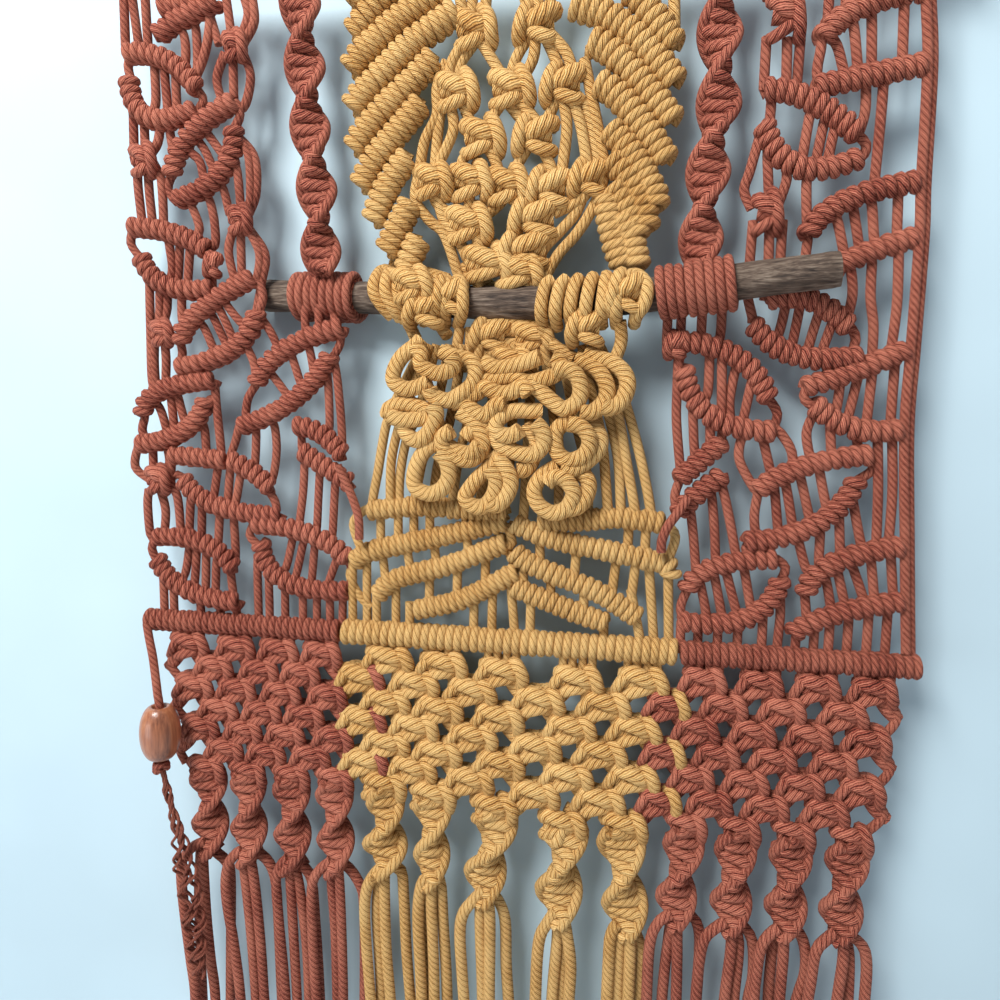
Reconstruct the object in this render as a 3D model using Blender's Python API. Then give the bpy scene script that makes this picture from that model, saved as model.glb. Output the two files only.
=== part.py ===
"""Macrame wall hanging: knotted cord solids in the shape in which they hang.

Frame: metres, +Z up, +X to the right and the front facing -Y. The origin is the middle of the
top edge. The tables give x and "drop", the distance below the top edge, both in millimetres.
"""

import math
from typing import NamedTuple

import bmesh
import bpy
from mathutils import Vector

MM = 0.001

# Driving sizes, in millimetres.
HALF_WIDTH = 191.0
HEADING_CENTRE_DROP = 5.2
HEADING_RADIUS = 5.0
HEADING_CLEAR_DROP = 10.6
MAIN_DROP = 319.0
MAIN_RUST_RADIUS = 6.0
MAIN_GOLD_RADIUS = 6.5
MAIN_GOLD_HALF = 82.8
MAIN_PITCH = 36.0
FRINGE_DROP = 566.0
GAP = 0.4
BAR_RADIUS = 4.8
RUST_STRAND = 2.7
EDGE_STRAND = 3.2
GOLD_STRAND = 3.1
STRAND_BACK = 1.0
STICK_RADIUS = 7.6
COIL_RADIUS = 10.4
COIL_CLEARANCE = 0.9
COIL_END_TAPER = 0.93
COIL_STEPS = 4

# Sides and ridge pitches that set how finely the solids are made.
BAR_SIDES = 5
BAR_PITCH = 22.0
RIDGE_DIP = 0.84
STRAND_SIDES = 3
ROPE_SIDES = 4
STRAIGHT_SIDES = 8
STICK_SIDES = 10


class Bar(NamedTuple):
    """A hitched bar: two ends, the bow of its middle (+ is up) and where along it the bow lies."""

    x0: float
    drop0: float
    x1: float
    drop1: float
    bow: float
    skew: float


class Knot(NamedTuple):
    """A square knot: its middle, width and height."""

    x: float
    drop: float
    width: float
    height: float


class Strand(NamedTuple):
    """A strand between two named bars or knots; bow moves its middle to the right."""

    upper: str
    x_top: float
    lower: str
    x_bottom: float
    bow: float = 0.0


LEFT_BARS = {
    "l0": Bar(-172, 19, -152, 15.5, 0, 0.5),
    "l1": Bar(-174, 31, -143, 17, 1.5, 0.2),
    "l2": Bar(-191, 38, -154, 56, 6, 0.5),
    "l3": Bar(-190, 49, -155, 65, -13, 0.35),
    "l4": Bar(-169, 95, -135, 62, 6, 0.35),
    "l5": Bar(-167, 107, -136, 74, -9, 0.65),
    "l6": Bar(-192, 119, -151, 131, 3, 0.6),
    "l7": Bar(-187, 133, -149, 149.5, -8, 0.35),
    "l8": Bar(-167, 176, -127, 144, 5.5, 0.2),
    "l9": Bar(-169, 188, -126, 160, -8.5, 0.7),
    "l10": Bar(-189, 212, -149, 194, 7, 0.15),
    "l11": Bar(-194, 227, -154, 203, -7.5, 0.65),
    "l12": Bar(-127, 196, -84, 169, 6.5, 0.3),
    "l13": Bar(-136, 217, -88, 181, -6, 0.55),
    "l14": Bar(-107, 216, -84, 230, 3.5, 0.4),
    "l15": Bar(-104, 228, -80, 244, 0, 0.5),
    "l16": Bar(-174, 232, -144, 234, 0, 0.5),
    "l17": Bar(-142, 234, -120, 248, 2, 0.5),
    "l18": Bar(-168, 244, -115, 261, -7, 0.3),
    "l19": Bar(-184, 275, -141, 290, 7, 0.65),
    "l20": Bar(-184, 286, -139, 305, -7, 0.35),
    "l21": Bar(-130, 266, -85, 281, 5.5, 0.65),
    "l22": Bar(-126, 275, -85, 297, -11, 0.25),
}
LEFT_KNOTS = {
    "ka": Knot(-184, 87.5, 13, 14),
    "kb": Knot(-178, 172, 10, 11),
    "kc": Knot(-182, 245, 14, 13),
    "kd": Knot(-135, 37, 12, 10),
    "ke": Knot(-134.5, 117, 12, 11),
}
LEFT_STRANDS = (
    Strand("top", -190, "l2", -189.5),
    Strand("top", -168, "l0", -168),
    Strand("top", -157, "l0", -157),
    Strand("l1", -153, "l2", -156),
    Strand("l2", -188.5, "l3", -188),
    Strand("l2", -176, "l3", -176),
    Strand("l2", -156, "l3", -157),
    Strand("l3", -187.5, "ka", -186),
    Strand("l3", -175.5, "ka", -180),
    Strand("l3", -168, "l4", -166),
    Strand("ka", -187, "l6", -186),
    Strand("ka", -180, "l6", -174),
    Strand("l4", -167, "l5", -165.5),
    Strand("l4", -137, "l5", -138),
    Strand("l5", -150, "l6", -153),
    Strand("l6", -190, "l7", -186),
    Strand("l6", -152.5, "l7", -151),
    Strand("l7", -182.5, "l10", -184),
    Strand("l7", -177, "kb", -177),
    Strand("kb", -177, "l10", -176),
    Strand("l7", -165, "l8", -165),
    Strand("l7", -151, "l8", -151),
    Strand("l8", -165, "l9", -167),
    Strand("l8", -128.5, "l9", -128),
    Strand("l9", -165, "l10", -164),
    Strand("l9", -129, "l12", -118),
    Strand("l10", -187, "l11", -186),
    Strand("l10", -151, "l11", -155.5),
    Strand("l11", -191, "kc", -186),
    Strand("l11", -177, "kc", -179),
    Strand("l11", -155.5, "l16", -148),
    Strand("kc", -185, "l19", -182.5),
    Strand("kc", -178, "l19", -170, 3),
    Strand("l16", -148, "l18", -150),
    Strand("l17", -137, "l18", -139),
    Strand("l17", -122, "l18", -119),
    Strand("l18", -141.5, "l19", -143),
    Strand("l18", -124, "l21", -125),
    Strand("coil", -104, "l12", -104),
    Strand("coil", -87, "l12", -87),
    Strand("l12", -125.5, "l13", -131),
    Strand("l12", -86, "l13", -90),
    Strand("l13", -134, "l17", -140),
    Strand("l13", -91, "l14", -89),
    Strand("l14", -86, "l15", -84),
    Strand("l15", -102, "l21", -105),
    Strand("l15", -82.5, "l21", -86),
    Strand("l21", -128, "l22", -124),
    Strand("l21", -87, "l22", -87),
    Strand("l19", -182, "l20", -182),
    Strand("l19", -143, "l20", -142),
    Strand("l22", -124, "main", -126),
    Strand("l22", -87, "main", -87),
    Strand("l20", -181.5, "main", -181),
    Strand("top", -139.5, "kd", -137),
    Strand("top", -128, "kd", -132),
    Strand("l1", -146, "kd", -138),
    Strand("kd", -138, "l4", -139, -3),
    Strand("kd", -132, "l4", -136.5, 5),
    Strand("l5", -140, "ke", -137),
    Strand("l5", -137, "ke", -132, 6),
    Strand("ke", -137, "l8", -138, -3),
    Strand("ke", -131.5, "l8", -129, 3),
)

RIGHT_BARS = {
    "r0": Bar(131, 48, 172, 30, 5, 0.3),
    "r1": Bar(130, 67, 174, 60, 0, 0.5),
    "r2": Bar(109, 67, 148, 87, 4, 0.4),
    "r3": Bar(109, 81, 150, 96.5, -12, 0.45),
    "r4": Bar(130, 129, 176, 106, 6.5, 0.25),
    "r5": Bar(133, 148, 176, 129, 2, 0.5),
    "r6": Bar(114, 156, 150, 168, 6, 0.45),
    "r7": Bar(109, 166, 156, 180, -8, 0.4),
    "r8": Bar(133, 194, 176, 176, -1, 0.5),
    "r9": Bar(137, 201, 176, 212, -5.5, 0.45),
    "r10": Bar(115, 241, 163, 223.5, 4, 0.4),
    "r11": Bar(111, 265, 158, 234, -9, 0.6),
    "r12": Bar(139, 288, 180, 263, 7, 0.2),
    "r13": Bar(134, 305, 182, 287, 3, 0.3),
    "r14": Bar(77, 176, 118, 200, 9, 0.6),
    "r15": Bar(80, 187, 121, 214, -10.5, 0.4),
    "r16": Bar(82, 237, 101, 219, 0, 0.5),
    "r17": Bar(83, 253, 103, 234, 1, 0.5),
    "r18": Bar(90, 288, 125, 272, 6, 0.2),
    "r19": Bar(90, 302, 128, 281, -10, 0.65),
}
RIGHT_KNOTS = {
    "ma": Knot(115.5, 38, 19, 19),
    "mb": Knot(113, 119, 14, 17),
}
RIGHT_STRANDS = (
    Strand("top", 109, "ma", 110),
    Strand("top", 121, "ma", 120),
    Strand("top", 134, "r0", 134),
    Strand("top", 160, "r0", 160),
    Strand("r0", 133, "r1", 133),
    Strand("ma", 109.5, "r2", 111),
    Strand("ma", 120, "r2", 120),
    Strand("r1", 150, "r2", 147.5, 2),
    Strand("r2", 112, "r3", 111.5),
    Strand("r2", 139, "r3", 137),
    Strand("r2", 147, "r3", 148.5),
    Strand("r3", 111, "mb", 109.5, -5),
    Strand("r3", 118, "mb", 116),
    Strand("r3", 129, "r4", 132),
    Strand("r3", 147, "r4", 150),
    Strand("r4", 132, "r5", 134.5),
    Strand("r4", 158, "r5", 160),
    Strand("r5", 158, "r8", 160.5),
    Strand("mb", 109, "r7", 110.5),
    Strand("mb", 117, "r6", 118),
    Strand("r6", 124, "r7", 121),
    Strand("r6", 149, "r7", 152),
    Strand("r8", 135, "r9", 139),
    Strand("r8", 160, "r9", 160),
    Strand("r9", 162, "r10", 160),
    Strand("r10", 117, "r11", 115),
    Strand("r10", 161, "r11", 156),
    Strand("r11", 137, "r12", 141),
    Strand("r11", 155.5, "r12", 163),
    Strand("r12", 141, "r13", 140.5),
    Strand("r12", 164, "r13", 166),
    Strand("r13", 138, "main", 139),
    Strand("r13", 166, "main", 167),
    Strand("r13", 179, "main", 180),
    Strand("coil", 80, "r14", 80),
    Strand("coil", 98, "r14", 98),
    Strand("r14", 80, "r15", 83),
    Strand("r14", 116.5, "r15", 117),
    Strand("r15", 83, "r16", 84, -2),
    Strand("r15", 92, "r16", 93),
    Strand("r15", 108, "r10", 117, -2),
    Strand("r15", 118, "r10", 126),
    Strand("r16", 84, "r17", 85),
    Strand("r16", 99, "r17", 101),
    Strand("r17", 87, "r18", 92),
    Strand("r17", 101.5, "r18", 109),
    Strand("r11", 114, "r18", 118),
    Strand("r18", 92, "r19", 92),
    Strand("r18", 112, "r19", 116),
    Strand("r18", 123.5, "r19", 126),
    Strand("r19", 93, "main", 92),
    Strand("r19", 124, "main", 126),
)
RIGHT_EDGE_BARS = ("r0", "r1", "r4", "r5", "r8", "r9", "r12", "r13")


class Rib(NamedTuple):
    """A wing rib, bowed like a bar, from its outer low end to its inner high end."""

    x0: float
    drop0: float
    x1: float
    drop1: float
    bow: float


LEFT_RIBS = (
    Rib(-76, 23, -67, 16.5, 0.0),
    Rib(-76, 36, -57, 17.5, 0.5),
    Rib(-76, 52, -33, 18.5, 3.0),
    Rib(-76, 70, -28, 28, 2.5),
    Rib(-76, 88, -38, 46, 2.5),
    Rib(-75, 106, -44, 67, 2.0),
    Rib(-67, 122, -49, 90, 0.5),
    Rib(-59, 135, -48.5, 110, 0.5),
)
RIGHT_RIBS = (
    Rib(75.5, 41, 52, 17, 0.5),
    Rib(75.5, 57, 26, 27, 3.0),
    Rib(75.5, 75, 34, 43.5, 3.0),
    Rib(75, 92, 37.5, 61, 2.5),
    Rib(71, 104, 43, 81, 2.5),
    Rib(64, 119, 45, 106, 1.0),
    Rib(55, 138, 43, 126, 1.0),
)
RIB_RADIUS = 5.6
LEFT_WING_HANGER_X = -73.0
RIGHT_WING_HANGER_X = 58.0

BELLY_KNOTS = {
    "b1": Knot(-19, 36, 13, 12),
    "b2": Knot(10, 35, 13, 12),
    "b3": Knot(-27, 62, 13, 12),
    "b4": Knot(-2, 62, 13, 12),
    "b5": Knot(22.5, 61.5, 13, 12),
    "b6": Knot(-15, 82.5, 13, 12),
    "b7": Knot(10.5, 83, 13, 12),
    "b8": Knot(-38, 101.5, 12, 12),
    "b9": Knot(-20, 102, 13, 12),
    "b10": Knot(-4, 104.5, 13, 12),
    "b11": Knot(18, 106, 13, 12),
    "b12": Knot(35, 102.5, 12, 12),
    "b13": Knot(-20, 121, 15, 12),
    "b14": Knot(10, 118, 15, 12),
    "b15": Knot(4, 131, 16, 10),
    "b16": Knot(-9, 139, 17, 9),
}
BELLY_STRANDS = (
    Strand("top", -24, "b1", -22),
    Strand("top", -13, "b1", -16),
    Strand("top", 4, "b2", 8),
    Strand("top", 18, "b2", 13),
    Strand("b1", -21, "b3", -28),
    Strand("b1", -16, "b4", -5),
    Strand("b2", 8, "b4", 1),
    Strand("b2", 13, "b5", 21),
    Strand("b3", -25, "b6", -18),
    Strand("b4", 1, "b7", 8),
    Strand("b5", 20, "b7", 13),
    Strand("b3", -30, "b8", -36),
    Strand("b5", 25, "b12", 34),
    Strand("b6", -17, "b9", -20),
    Strand("b7", 13, "b11", 17),
    Strand("b8", -38, "b9", -23),
    Strand("b9", -20, "b13", -22),
    Strand("b10", -6, "b13", -17),
    Strand("b10", -1, "b14", 7),
    Strand("b11", 17, "b14", 13),
    Strand("b13", -18, "b16", -12),
    Strand("b14", 9, "b15", 5),
    Strand("b15", 2, "b16", -5),
)
BELLY_OUTLINES = (
    ((-30, 49), (-36, 66), (-44, 98), (-39, 118), (-25, 138)),
    ((28, 42), (35, 66), (41, 98), (37, 116), (20, 138)),
)

LEFT_TALON_X = (-62, -53, -41, -27)
RIGHT_TALON_X = (18, 29, 41, 56)
TALON_TOP_DROP = 138.0
TALON_LOW_DROP = 172.0
WRAP_CLEARANCE = 4.6
WRAP_ANGLES = (75, 25, -25, -75)
BACK_STRAND_X = (-13, 8)
TALON_TOP_BAND = ((-63, 136), (-45, 138), (0, 138), (45, 138), (60, 137))
TALON_LOW_BAND = ((-64, 173), (-30, 172), (0, 172), (30, 172), (60, 175))
TALON_BAND_RADIUS = 3.7


class TailStrand(NamedTuple):
    """A straight strand from the feet down to the chevrons."""

    x_top: float
    drop_top: float
    x_low: float
    drop_low: float


TAIL_STRANDS = (
    TailStrand(-57, 175, -67, 254),
    TailStrand(-50, 175, -56, 254),
    TailStrand(-36, 172, -43, 254),
    TailStrand(-20, 172, -25, 254),
    TailStrand(0, 172, 0, 254),
    TailStrand(20, 172, 25, 254),
    TailStrand(37, 172, 42, 254),
    TailStrand(50, 175, 55, 254),
    TailStrand(56, 178, 66, 254),
)
CHEVRONS = (
    Bar(-69, 257, 0, 256, 3, 0.5),
    Bar(-73, 281, 0, 260, 1, 0.4),
    Bar(-64.5, 299.5, 0, 270, 2, 0.4),
    Bar(-45, 305.5, 5, 285, 0, 0.5),
    Bar(4, 258, 73, 257.5, 1, 0.5),
    Bar(3, 261, 75, 280, 1, 0.5),
    Bar(3, 274, 64, 301, 0, 0.5),
    Bar(3.5, 291, 49, 305.5, 1, 0.5),
)
CHEVRON_RADIUS = 5.2
CARRIER_X = (-67, -56, -38, -15, 15, 38, 56, 67)
CARRIER_TOP_DROP = 256.0

# The curls lie in front of the tail, each a short route of (x, drop) turns, tied back at a few places.
CURL_FRONT = -9.8
CURL_RADIUS = 3.7
CURL_TIES = ((-44, 176), (-37, 206), (-34, 246), (-21, 204), (24, 187), (42, 204), (27, 230), (-2, 232))
CURLS = (
    ((-45, 175), (-56, 186), (-51, 198), (-37, 194)),
    ((-43, 176), (-42, 189), (-25, 187)),
    ((-26, 181), (-15, 186), (-23, 202), (-38, 201)),
    ((-60, 209), (-46, 205.5), (-34, 208)),
    ((-52, 213), (-45, 222), (-35, 208)),
    ((-35, 210), (-31, 224), (-16, 229), (-14, 216), (-23, 207)),
    ((-33, 222), (-46, 234), (-42, 247), (-30, 243), (-30, 226)),
    ((-9, 228), (-20, 246), (-10, 252), (-2, 230)),
    ((-18, 186), (9, 193), (27, 186)),
    ((7, 193), (20, 204), (33, 202), (31, 188)),
    ((27, 186), (44, 185), (44, 203), (30, 212)),
    ((34, 190), (54, 188), (50, 206), (36, 212)),
    ((34, 211), (22, 217), (28, 230), (38, 224), (36, 211)),
    ((26, 229), (14, 243), (23, 253), (33, 246), (28, 229)),
    ((16, 206), (-7, 209), (-4, 223), (13, 227), (24, 214)),
)


class StickPoint(NamedTuple):
    """A point of the stick's middle line; back is how far it lies behind the bars."""

    x: float
    drop: float
    back: float


STICK_LINE = (
    StickPoint(-129, 151.0, 13.6),
    StickPoint(-70, 153.0, 7.7),
    StickPoint(0, 156.5, 1.5),
    StickPoint(60, 154.5, -3.8),
    StickPoint(104, 149.5, -9.6),
    StickPoint(141, 145.5, -14.0),
)
STICK_END_TAPER = 0.95
LEFT_COIL_SPAN = (-113.0, -75.0)
RIGHT_COIL_SPAN = (65.0, 102.0)

LEFT_SPIRAL = ((-102, 10.8), (-100, 40), (-97.5, 75), (-94.5, 108), (-92.5, 141))
RIGHT_SPIRAL = ((89.5, 10.8), (89.5, 42), (90, 75), (87, 104), (84, 139))
SPIRAL_WIDTH = 21.0
SPIRAL_DEPTH = 11.0
SPIRAL_TURN_DROP = 56.0
SPIRAL_STEP = 7.0
TOP_TAPER = 0.75

# Net: the knot columns of its even rows, and the column steps that each colour takes.
NET_COLUMNS = (-170, -145, -120, -95, -63, -31.5, 0, 31.5, 63, 96, 121, 146, 171)
NET_BLOCKS = {"left_net": (0, 6), "centre_net": (7, 16), "right_net": (17, 24)}
NET_ROWS = 7
NET_TOP_DROP = 332.0
NET_PITCH_DROP = 10.7
NET_KNOT_HALF_HEIGHT = 5.9
NET_KNOT_FILL = 0.66
NET_HALF_DEPTH = 3.0
NET_RAISE = 2.2


class Sinnet(NamedTuple):
    """A spiral sinnet under the net: its column, lowest drop, colour group and width."""

    x: float
    end_drop: float
    gold: bool
    width: float
    spread: float


SINNETS = (
    Sinnet(-166, 447, False, 16, 8.0),
    Sinnet(-140.5, 448, False, 15, 7.8),
    Sinnet(-116.5, 450, False, 16, 7.6),
    Sinnet(-91, 451, False, 16, 7.8),
    Sinnet(-62.5, 450, True, 18, 9.0),
    Sinnet(-35, 450, True, 16, 8.4),
    Sinnet(-4, 456, True, 17, 9.4),
    Sinnet(31, 460, True, 18, 9.0),
    Sinnet(64, 462, True, 18, 8.6),
    Sinnet(92, 450, False, 16, 7.6),
    Sinnet(117, 451, False, 15, 8.0),
    Sinnet(142.5, 450, False, 16, 8.0),
    Sinnet(168, 450, False, 16, 8.0),
)
SINNET_TOP_DROP = 403.2
SINNET_TURN_DROP = 50.0
SINNET_DEPTH = 10.0
SINNET_STEP = 8.5
FRINGE_PLACES = ((-1.0, -0.67, 0.3), (-0.30, -0.05, -3.6), (0.33, 0.08, 3.7), (1.0, 0.66, 0.2))
FRINGE_ROOT_RISE = 4.3
FRINGE_SPREAD_FALL = 9.0

# The bead hangs in front of the net, on a cord from the bar's left end.
BEAD_X = -174.8
BEAD_Y = -16.2
BEAD_TOP_DROP = 359.1
BEAD_LENGTH = 28.0
BEAD_RADIUS = 9.9
BEAD_END_RADIUS = 4.6
BEAD_HOLE = 3.2
BEAD_CORD_RADIUS = 2.2
BEAD_KNOT = Knot(-174.9, 391.8, 8.6, 7.4)


class CordPoint(NamedTuple):
    """A point of the bead's cord or its tail, with the radius there."""

    x: float
    drop: float
    y: float
    radius: float


BEAD_CORD_LINE = (
    CordPoint(-188.2, 325.8, -2.0, BEAD_CORD_RADIUS),
    CordPoint(-180.8, 340.5, -10.0, BEAD_CORD_RADIUS),
    CordPoint(-175.6, 353.0, -15.6, BEAD_CORD_RADIUS),
    CordPoint(BEAD_X, 360.0, BEAD_Y, BEAD_CORD_RADIUS),
    CordPoint(BEAD_X, 391.0, BEAD_Y, BEAD_CORD_RADIUS),
)
BEAD_TAIL_LINE = (
    CordPoint(-174.9, 390.5, -16.0, 2.6),
    CordPoint(-173.2, 404.0, -15.0, 2.6),
    CordPoint(-171.0, 418.5, -14.2, 3.0),
    CordPoint(-168.0, 431.5, -13.6, 3.4),
    CordPoint(-166.3, 444.5, -13.0, 3.8),
    CordPoint(-163.6, 462.0, -12.2, 4.0),
    CordPoint(-161.8, 480.5, -11.8, 4.0),
    CordPoint(-160.8, 503.0, -11.6, 3.0),
)

RUST = (0.335, 0.105, 0.062, 1.0)
GOLD = (0.61, 0.345, 0.115, 1.0)
STICK_BROWN = (0.13, 0.095, 0.07, 1.0)
BEAD_BROWN = (0.34, 0.13, 0.065, 1.0)


def clear_scene() -> None:
    """Remove every object that the file starts with."""
    for thing in list(bpy.data.objects):
        bpy.data.objects.remove(thing, do_unlink=True)


def make_material(name: str, colour: tuple, roughness: float) -> bpy.types.Material:
    """Make a plain Principled material."""
    material = bpy.data.materials.new(name)
    material.use_nodes = True
    shader = material.node_tree.nodes["Principled BSDF"]
    shader.inputs["Base Color"].default_value = colour
    shader.inputs["Roughness"].default_value = roughness
    shader.inputs["Metallic"].default_value = 0.0
    return material


def place(x: float, drop: float, y: float = 0.0) -> Vector:
    """Turn x, drop and y in millimetres into a point in metres."""
    return Vector((x, y, -drop)) * MM


def bezier(bar: "Bar | Rib", t: float, skew: float) -> tuple:
    """Return x and drop at the share t of a bowed bar."""
    dx = bar.x1 - bar.x0
    dz = bar.drop1 - bar.drop0
    length = math.hypot(dx, dz)
    side = 1.0 if dx > 0 else -1.0
    up_x = side * dz / length
    up_drop = -side * dx / length
    mid_x = bar.x0 + skew * dx + 2 * bar.bow * up_x
    mid_drop = bar.drop0 + skew * dz + 2 * bar.bow * up_drop
    a, b, c = (1 - t) ** 2, 2 * t * (1 - t), t * t
    return (
        a * bar.x0 + b * mid_x + c * bar.x1,
        a * bar.drop0 + b * mid_drop + c * bar.drop1,
    )


def drop_on_bar(bar: Bar, x: float) -> float:
    """Find the drop of a left-to-right bar where it passes x."""
    low, high = 0.0, 1.0
    for _ in range(24):
        t = (low + high) / 2
        if bezier(bar, t, bar.skew)[0] < x:
            low = t
        else:
            high = t
    return bezier(bar, low, bar.skew)[1]


def along(line: tuple, x: float) -> tuple:
    """Read the drop and back of a left-to-right line of stick points at x."""
    pairs = list(zip(line, line[1:]))
    first, last = next((pair for pair in pairs if x <= pair[1].x), pairs[-1])
    share = (x - first.x) / (last.x - first.x)
    return first.drop + share * (last.drop - first.drop), first.back + share * (last.back - first.back)


class Shell:
    """Points and faces of one or more closed bodies, before they become a mesh."""

    def __init__(self) -> None:
        self.points: list = []
        self.faces: list = []

    def add_loops(self, loops: list, closed: bool = False) -> None:
        """Skin a row of equal loops, with flat ends unless the row closes on itself."""
        base = len(self.points)
        sides = len(loops[0])
        for loop in loops:
            self.points.extend(loop)
        count = len(loops)
        for i in range(count if closed else count - 1):
            here, after = base + i * sides, base + (i + 1) % count * sides
            for j in range(sides):
                k = (j + 1) % sides
                self.faces.append((here + j, here + k, after + k, after + j))
        if not closed:
            last = base + (count - 1) * sides
            self.faces.append(tuple(base + j for j in reversed(range(sides))))
            self.faces.append(tuple(last + j for j in range(sides)))


def sweep_frames(path: list, hint: Vector) -> list:
    """Give each point of a path its two cross directions, carried along without twist."""
    frames = []
    side = hint
    for i, point in enumerate(path):
        before = path[max(i - 1, 0)]
        after = path[min(i + 1, len(path) - 1)]
        forward = (after - before).normalized()
        if abs(side.dot(forward)) > 0.99:
            side = Vector((1, 0, 0))
        side = (side - forward * side.dot(forward)).normalized()
        frames.append((point, side, forward.cross(side)))
    return frames


def tube(path: list, radii: "float | list", sides: int, hint: Vector = Vector((0, -1, 0))) -> list:
    """Return the loops of a round tube; radii are millimetres."""
    if not isinstance(radii, (list, tuple)):
        radii = [radii] * len(path)
    loops = []
    for (point, side, across), radius in zip(sweep_frames(path, hint), radii):
        loop = []
        for j in range(sides):
            angle = 2 * math.pi * (j + 0.5) / sides
            loop.append(point + (side * math.cos(angle) + across * math.sin(angle)) * radius * MM)
        loops.append(loop)
    return loops


def ridged_path(points: list, radius: float, pitch: float) -> tuple:
    """Cut a path into ridges of about one pitch and give each cut its radius."""
    lengths = [(b - a).length for a, b in zip(points, points[1:])]
    total = sum(lengths)
    steps = 2 * max(2, round(total / (pitch * MM)))
    path, radii = [], []
    for i in range(steps + 1):
        target = total * i / steps
        k = 0
        while k < len(lengths) - 1 and target > lengths[k]:
            target -= lengths[k]
            k += 1
        share = target / lengths[k]
        path.append(points[k].lerp(points[k + 1], share))
        radii.append(radius * (1.0 if i % 2 else RIDGE_DIP))
    return path, radii


def add_bar(shells: list, points: list, radius: float, pitch: float, sides: int) -> None:
    """Add one ridged bar as its own shell."""
    path, radii = ridged_path(points, radius, pitch)
    shell = Shell()
    shell.add_loops(tube(path, radii, sides))
    shells.append(shell)


def add_strand(shells: list, points: list, radius: "float | list", sides: int = STRAND_SIDES) -> None:
    """Add one plain strand as its own shell."""
    shell = Shell()
    shell.add_loops(tube(points, radius, sides))
    shells.append(shell)


def add_knot(shells: list, knot: Knot, y: float = 0.0) -> None:
    """Add a square knot as a rounded lump."""
    profile = ((-0.5, 0.5), (-0.2, 1.0), (0.2, 1.0), (0.5, 0.5))
    path = [place(knot.x, knot.drop + share * knot.height, y) for share, _ in profile]
    radii = [knot.width / 2 * size for _, size in profile]
    shell = Shell()
    shell.add_loops(tube(path, radii, BAR_SIDES))
    shells.append(shell)


def mesh_from_shells(name: str, shells: list) -> bpy.types.Mesh:
    """Join shells into one mesh whose faces point out."""
    mesh = bpy.data.meshes.new(name)
    builder = bmesh.new()
    for shell in shells:
        verts = [builder.verts.new(point) for point in shell.points]
        for face in shell.faces:
            builder.faces.new([verts[i] for i in face])
    bmesh.ops.recalc_face_normals(builder, faces=builder.faces)
    builder.to_mesh(mesh)
    builder.free()
    return mesh


def add_object(name: str, mesh: bpy.types.Mesh, material: bpy.types.Material) -> bpy.types.Object:
    """Put a mesh in the scene as a named, smooth-shaded sub-part."""
    mesh.name = name
    mesh.materials.clear()
    mesh.materials.append(material)
    mesh.shade_smooth()
    mesh.set_sharp_from_angle(angle=math.radians(50))
    thing = bpy.data.objects.new(name, mesh)
    bpy.context.scene.collection.objects.link(thing)
    return thing


def fuse(name: str, shells: list, material: bpy.types.Material) -> bpy.types.Object:
    """Union overlapping shells into one closed body."""
    first = bpy.data.objects.new(name + "_first", mesh_from_shells(name, shells[:1]))
    rest = bpy.data.objects.new(name + "_rest", mesh_from_shells(name + "_rest", shells[1:]))
    for thing in (first, rest):
        bpy.context.scene.collection.objects.link(thing)
    union = first.modifiers.new("union", "BOOLEAN")
    union.operation = "UNION"
    union.solver = "EXACT"
    union.use_self = True
    union.object = rest
    bpy.context.view_layer.update()
    evaluated = first.evaluated_get(bpy.context.evaluated_depsgraph_get())
    mesh = bpy.data.meshes.new_from_object(evaluated)
    for thing in (first, rest):
        bpy.data.objects.remove(thing, do_unlink=True)
    return add_object(name, mesh, material)


def anchor(panel: dict, name: str, x: float) -> Vector:
    """Find where a strand meets a named bar, knot, coil, heading or main bar."""
    if name == "top":
        return place(x, HEADING_CLEAR_DROP, STRAND_BACK)
    if name == "main":
        return place(x, MAIN_DROP - MAIN_RUST_RADIUS - GAP, STRAND_BACK)
    if name == "coil":
        drop, y = along(STICK_LINE, x)
        return place(x, drop + COIL_RADIUS + 2 * GAP, y / 2)
    item = panel[name]
    if isinstance(item, Knot):
        return place(x, item.drop, 0.0)
    return place(x, drop_on_bar(item, x), 0.0)


def strand_points(panel: dict, strand: Strand) -> list:
    """Route one strand between its two ends, with its bow."""
    start = anchor(panel, strand.upper, strand.x_top)
    end = anchor(panel, strand.lower, strand.x_bottom)
    if strand.bow == 0:
        return [start, end]
    middle = start.lerp(end, 0.5) + Vector((strand.bow * MM, 0, 0))
    return [start, middle, end]


def bar_points(bar: Bar, steps: int = 4) -> list:
    """Sample a bowed bar."""
    return [place(*bezier(bar, i / steps, bar.skew)) for i in range(steps + 1)]


def build_leaf_panel(name: str, bars: dict, knots: dict, strands: tuple, edge: tuple, material) -> None:
    """Build one side panel of hitched leaves, its strands and its knots as one body."""
    shells: list = []
    panel = {**bars, **knots}
    for bar in bars.values():
        add_bar(shells, bar_points(bar), BAR_RADIUS, BAR_PITCH, BAR_SIDES)
    for knot in knots.values():
        add_knot(shells, knot)
    for strand in strands:
        add_strand(shells, strand_points(panel, strand), RUST_STRAND)
    if edge:
        stops = [place(bars[edge[0]].x1, HEADING_CLEAR_DROP)]
        stops += [place(bars[key].x1, bars[key].drop1) for key in edge]
        stops.append(place(bars[edge[-1]].x1 + 2, MAIN_DROP - MAIN_RUST_RADIUS - GAP))
        add_strand(shells, stops, EDGE_STRAND, ROPE_SIDES)
    fuse(name, shells, material)


def add_ribs(shells: list, ribs: tuple) -> None:
    """Add a wing's ribs and the two cords that carry them."""
    rows = []
    for rib in ribs:
        points = [place(*bezier(rib, i / 4, 0.5)) for i in range(5)]
        rows.append(points)
        add_strand(shells, points[::2], RIB_RADIUS, BAR_SIDES)
    for index in (1, 3):
        add_strand(shells, [row[index] for row in rows], GOLD_STRAND)


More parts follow.
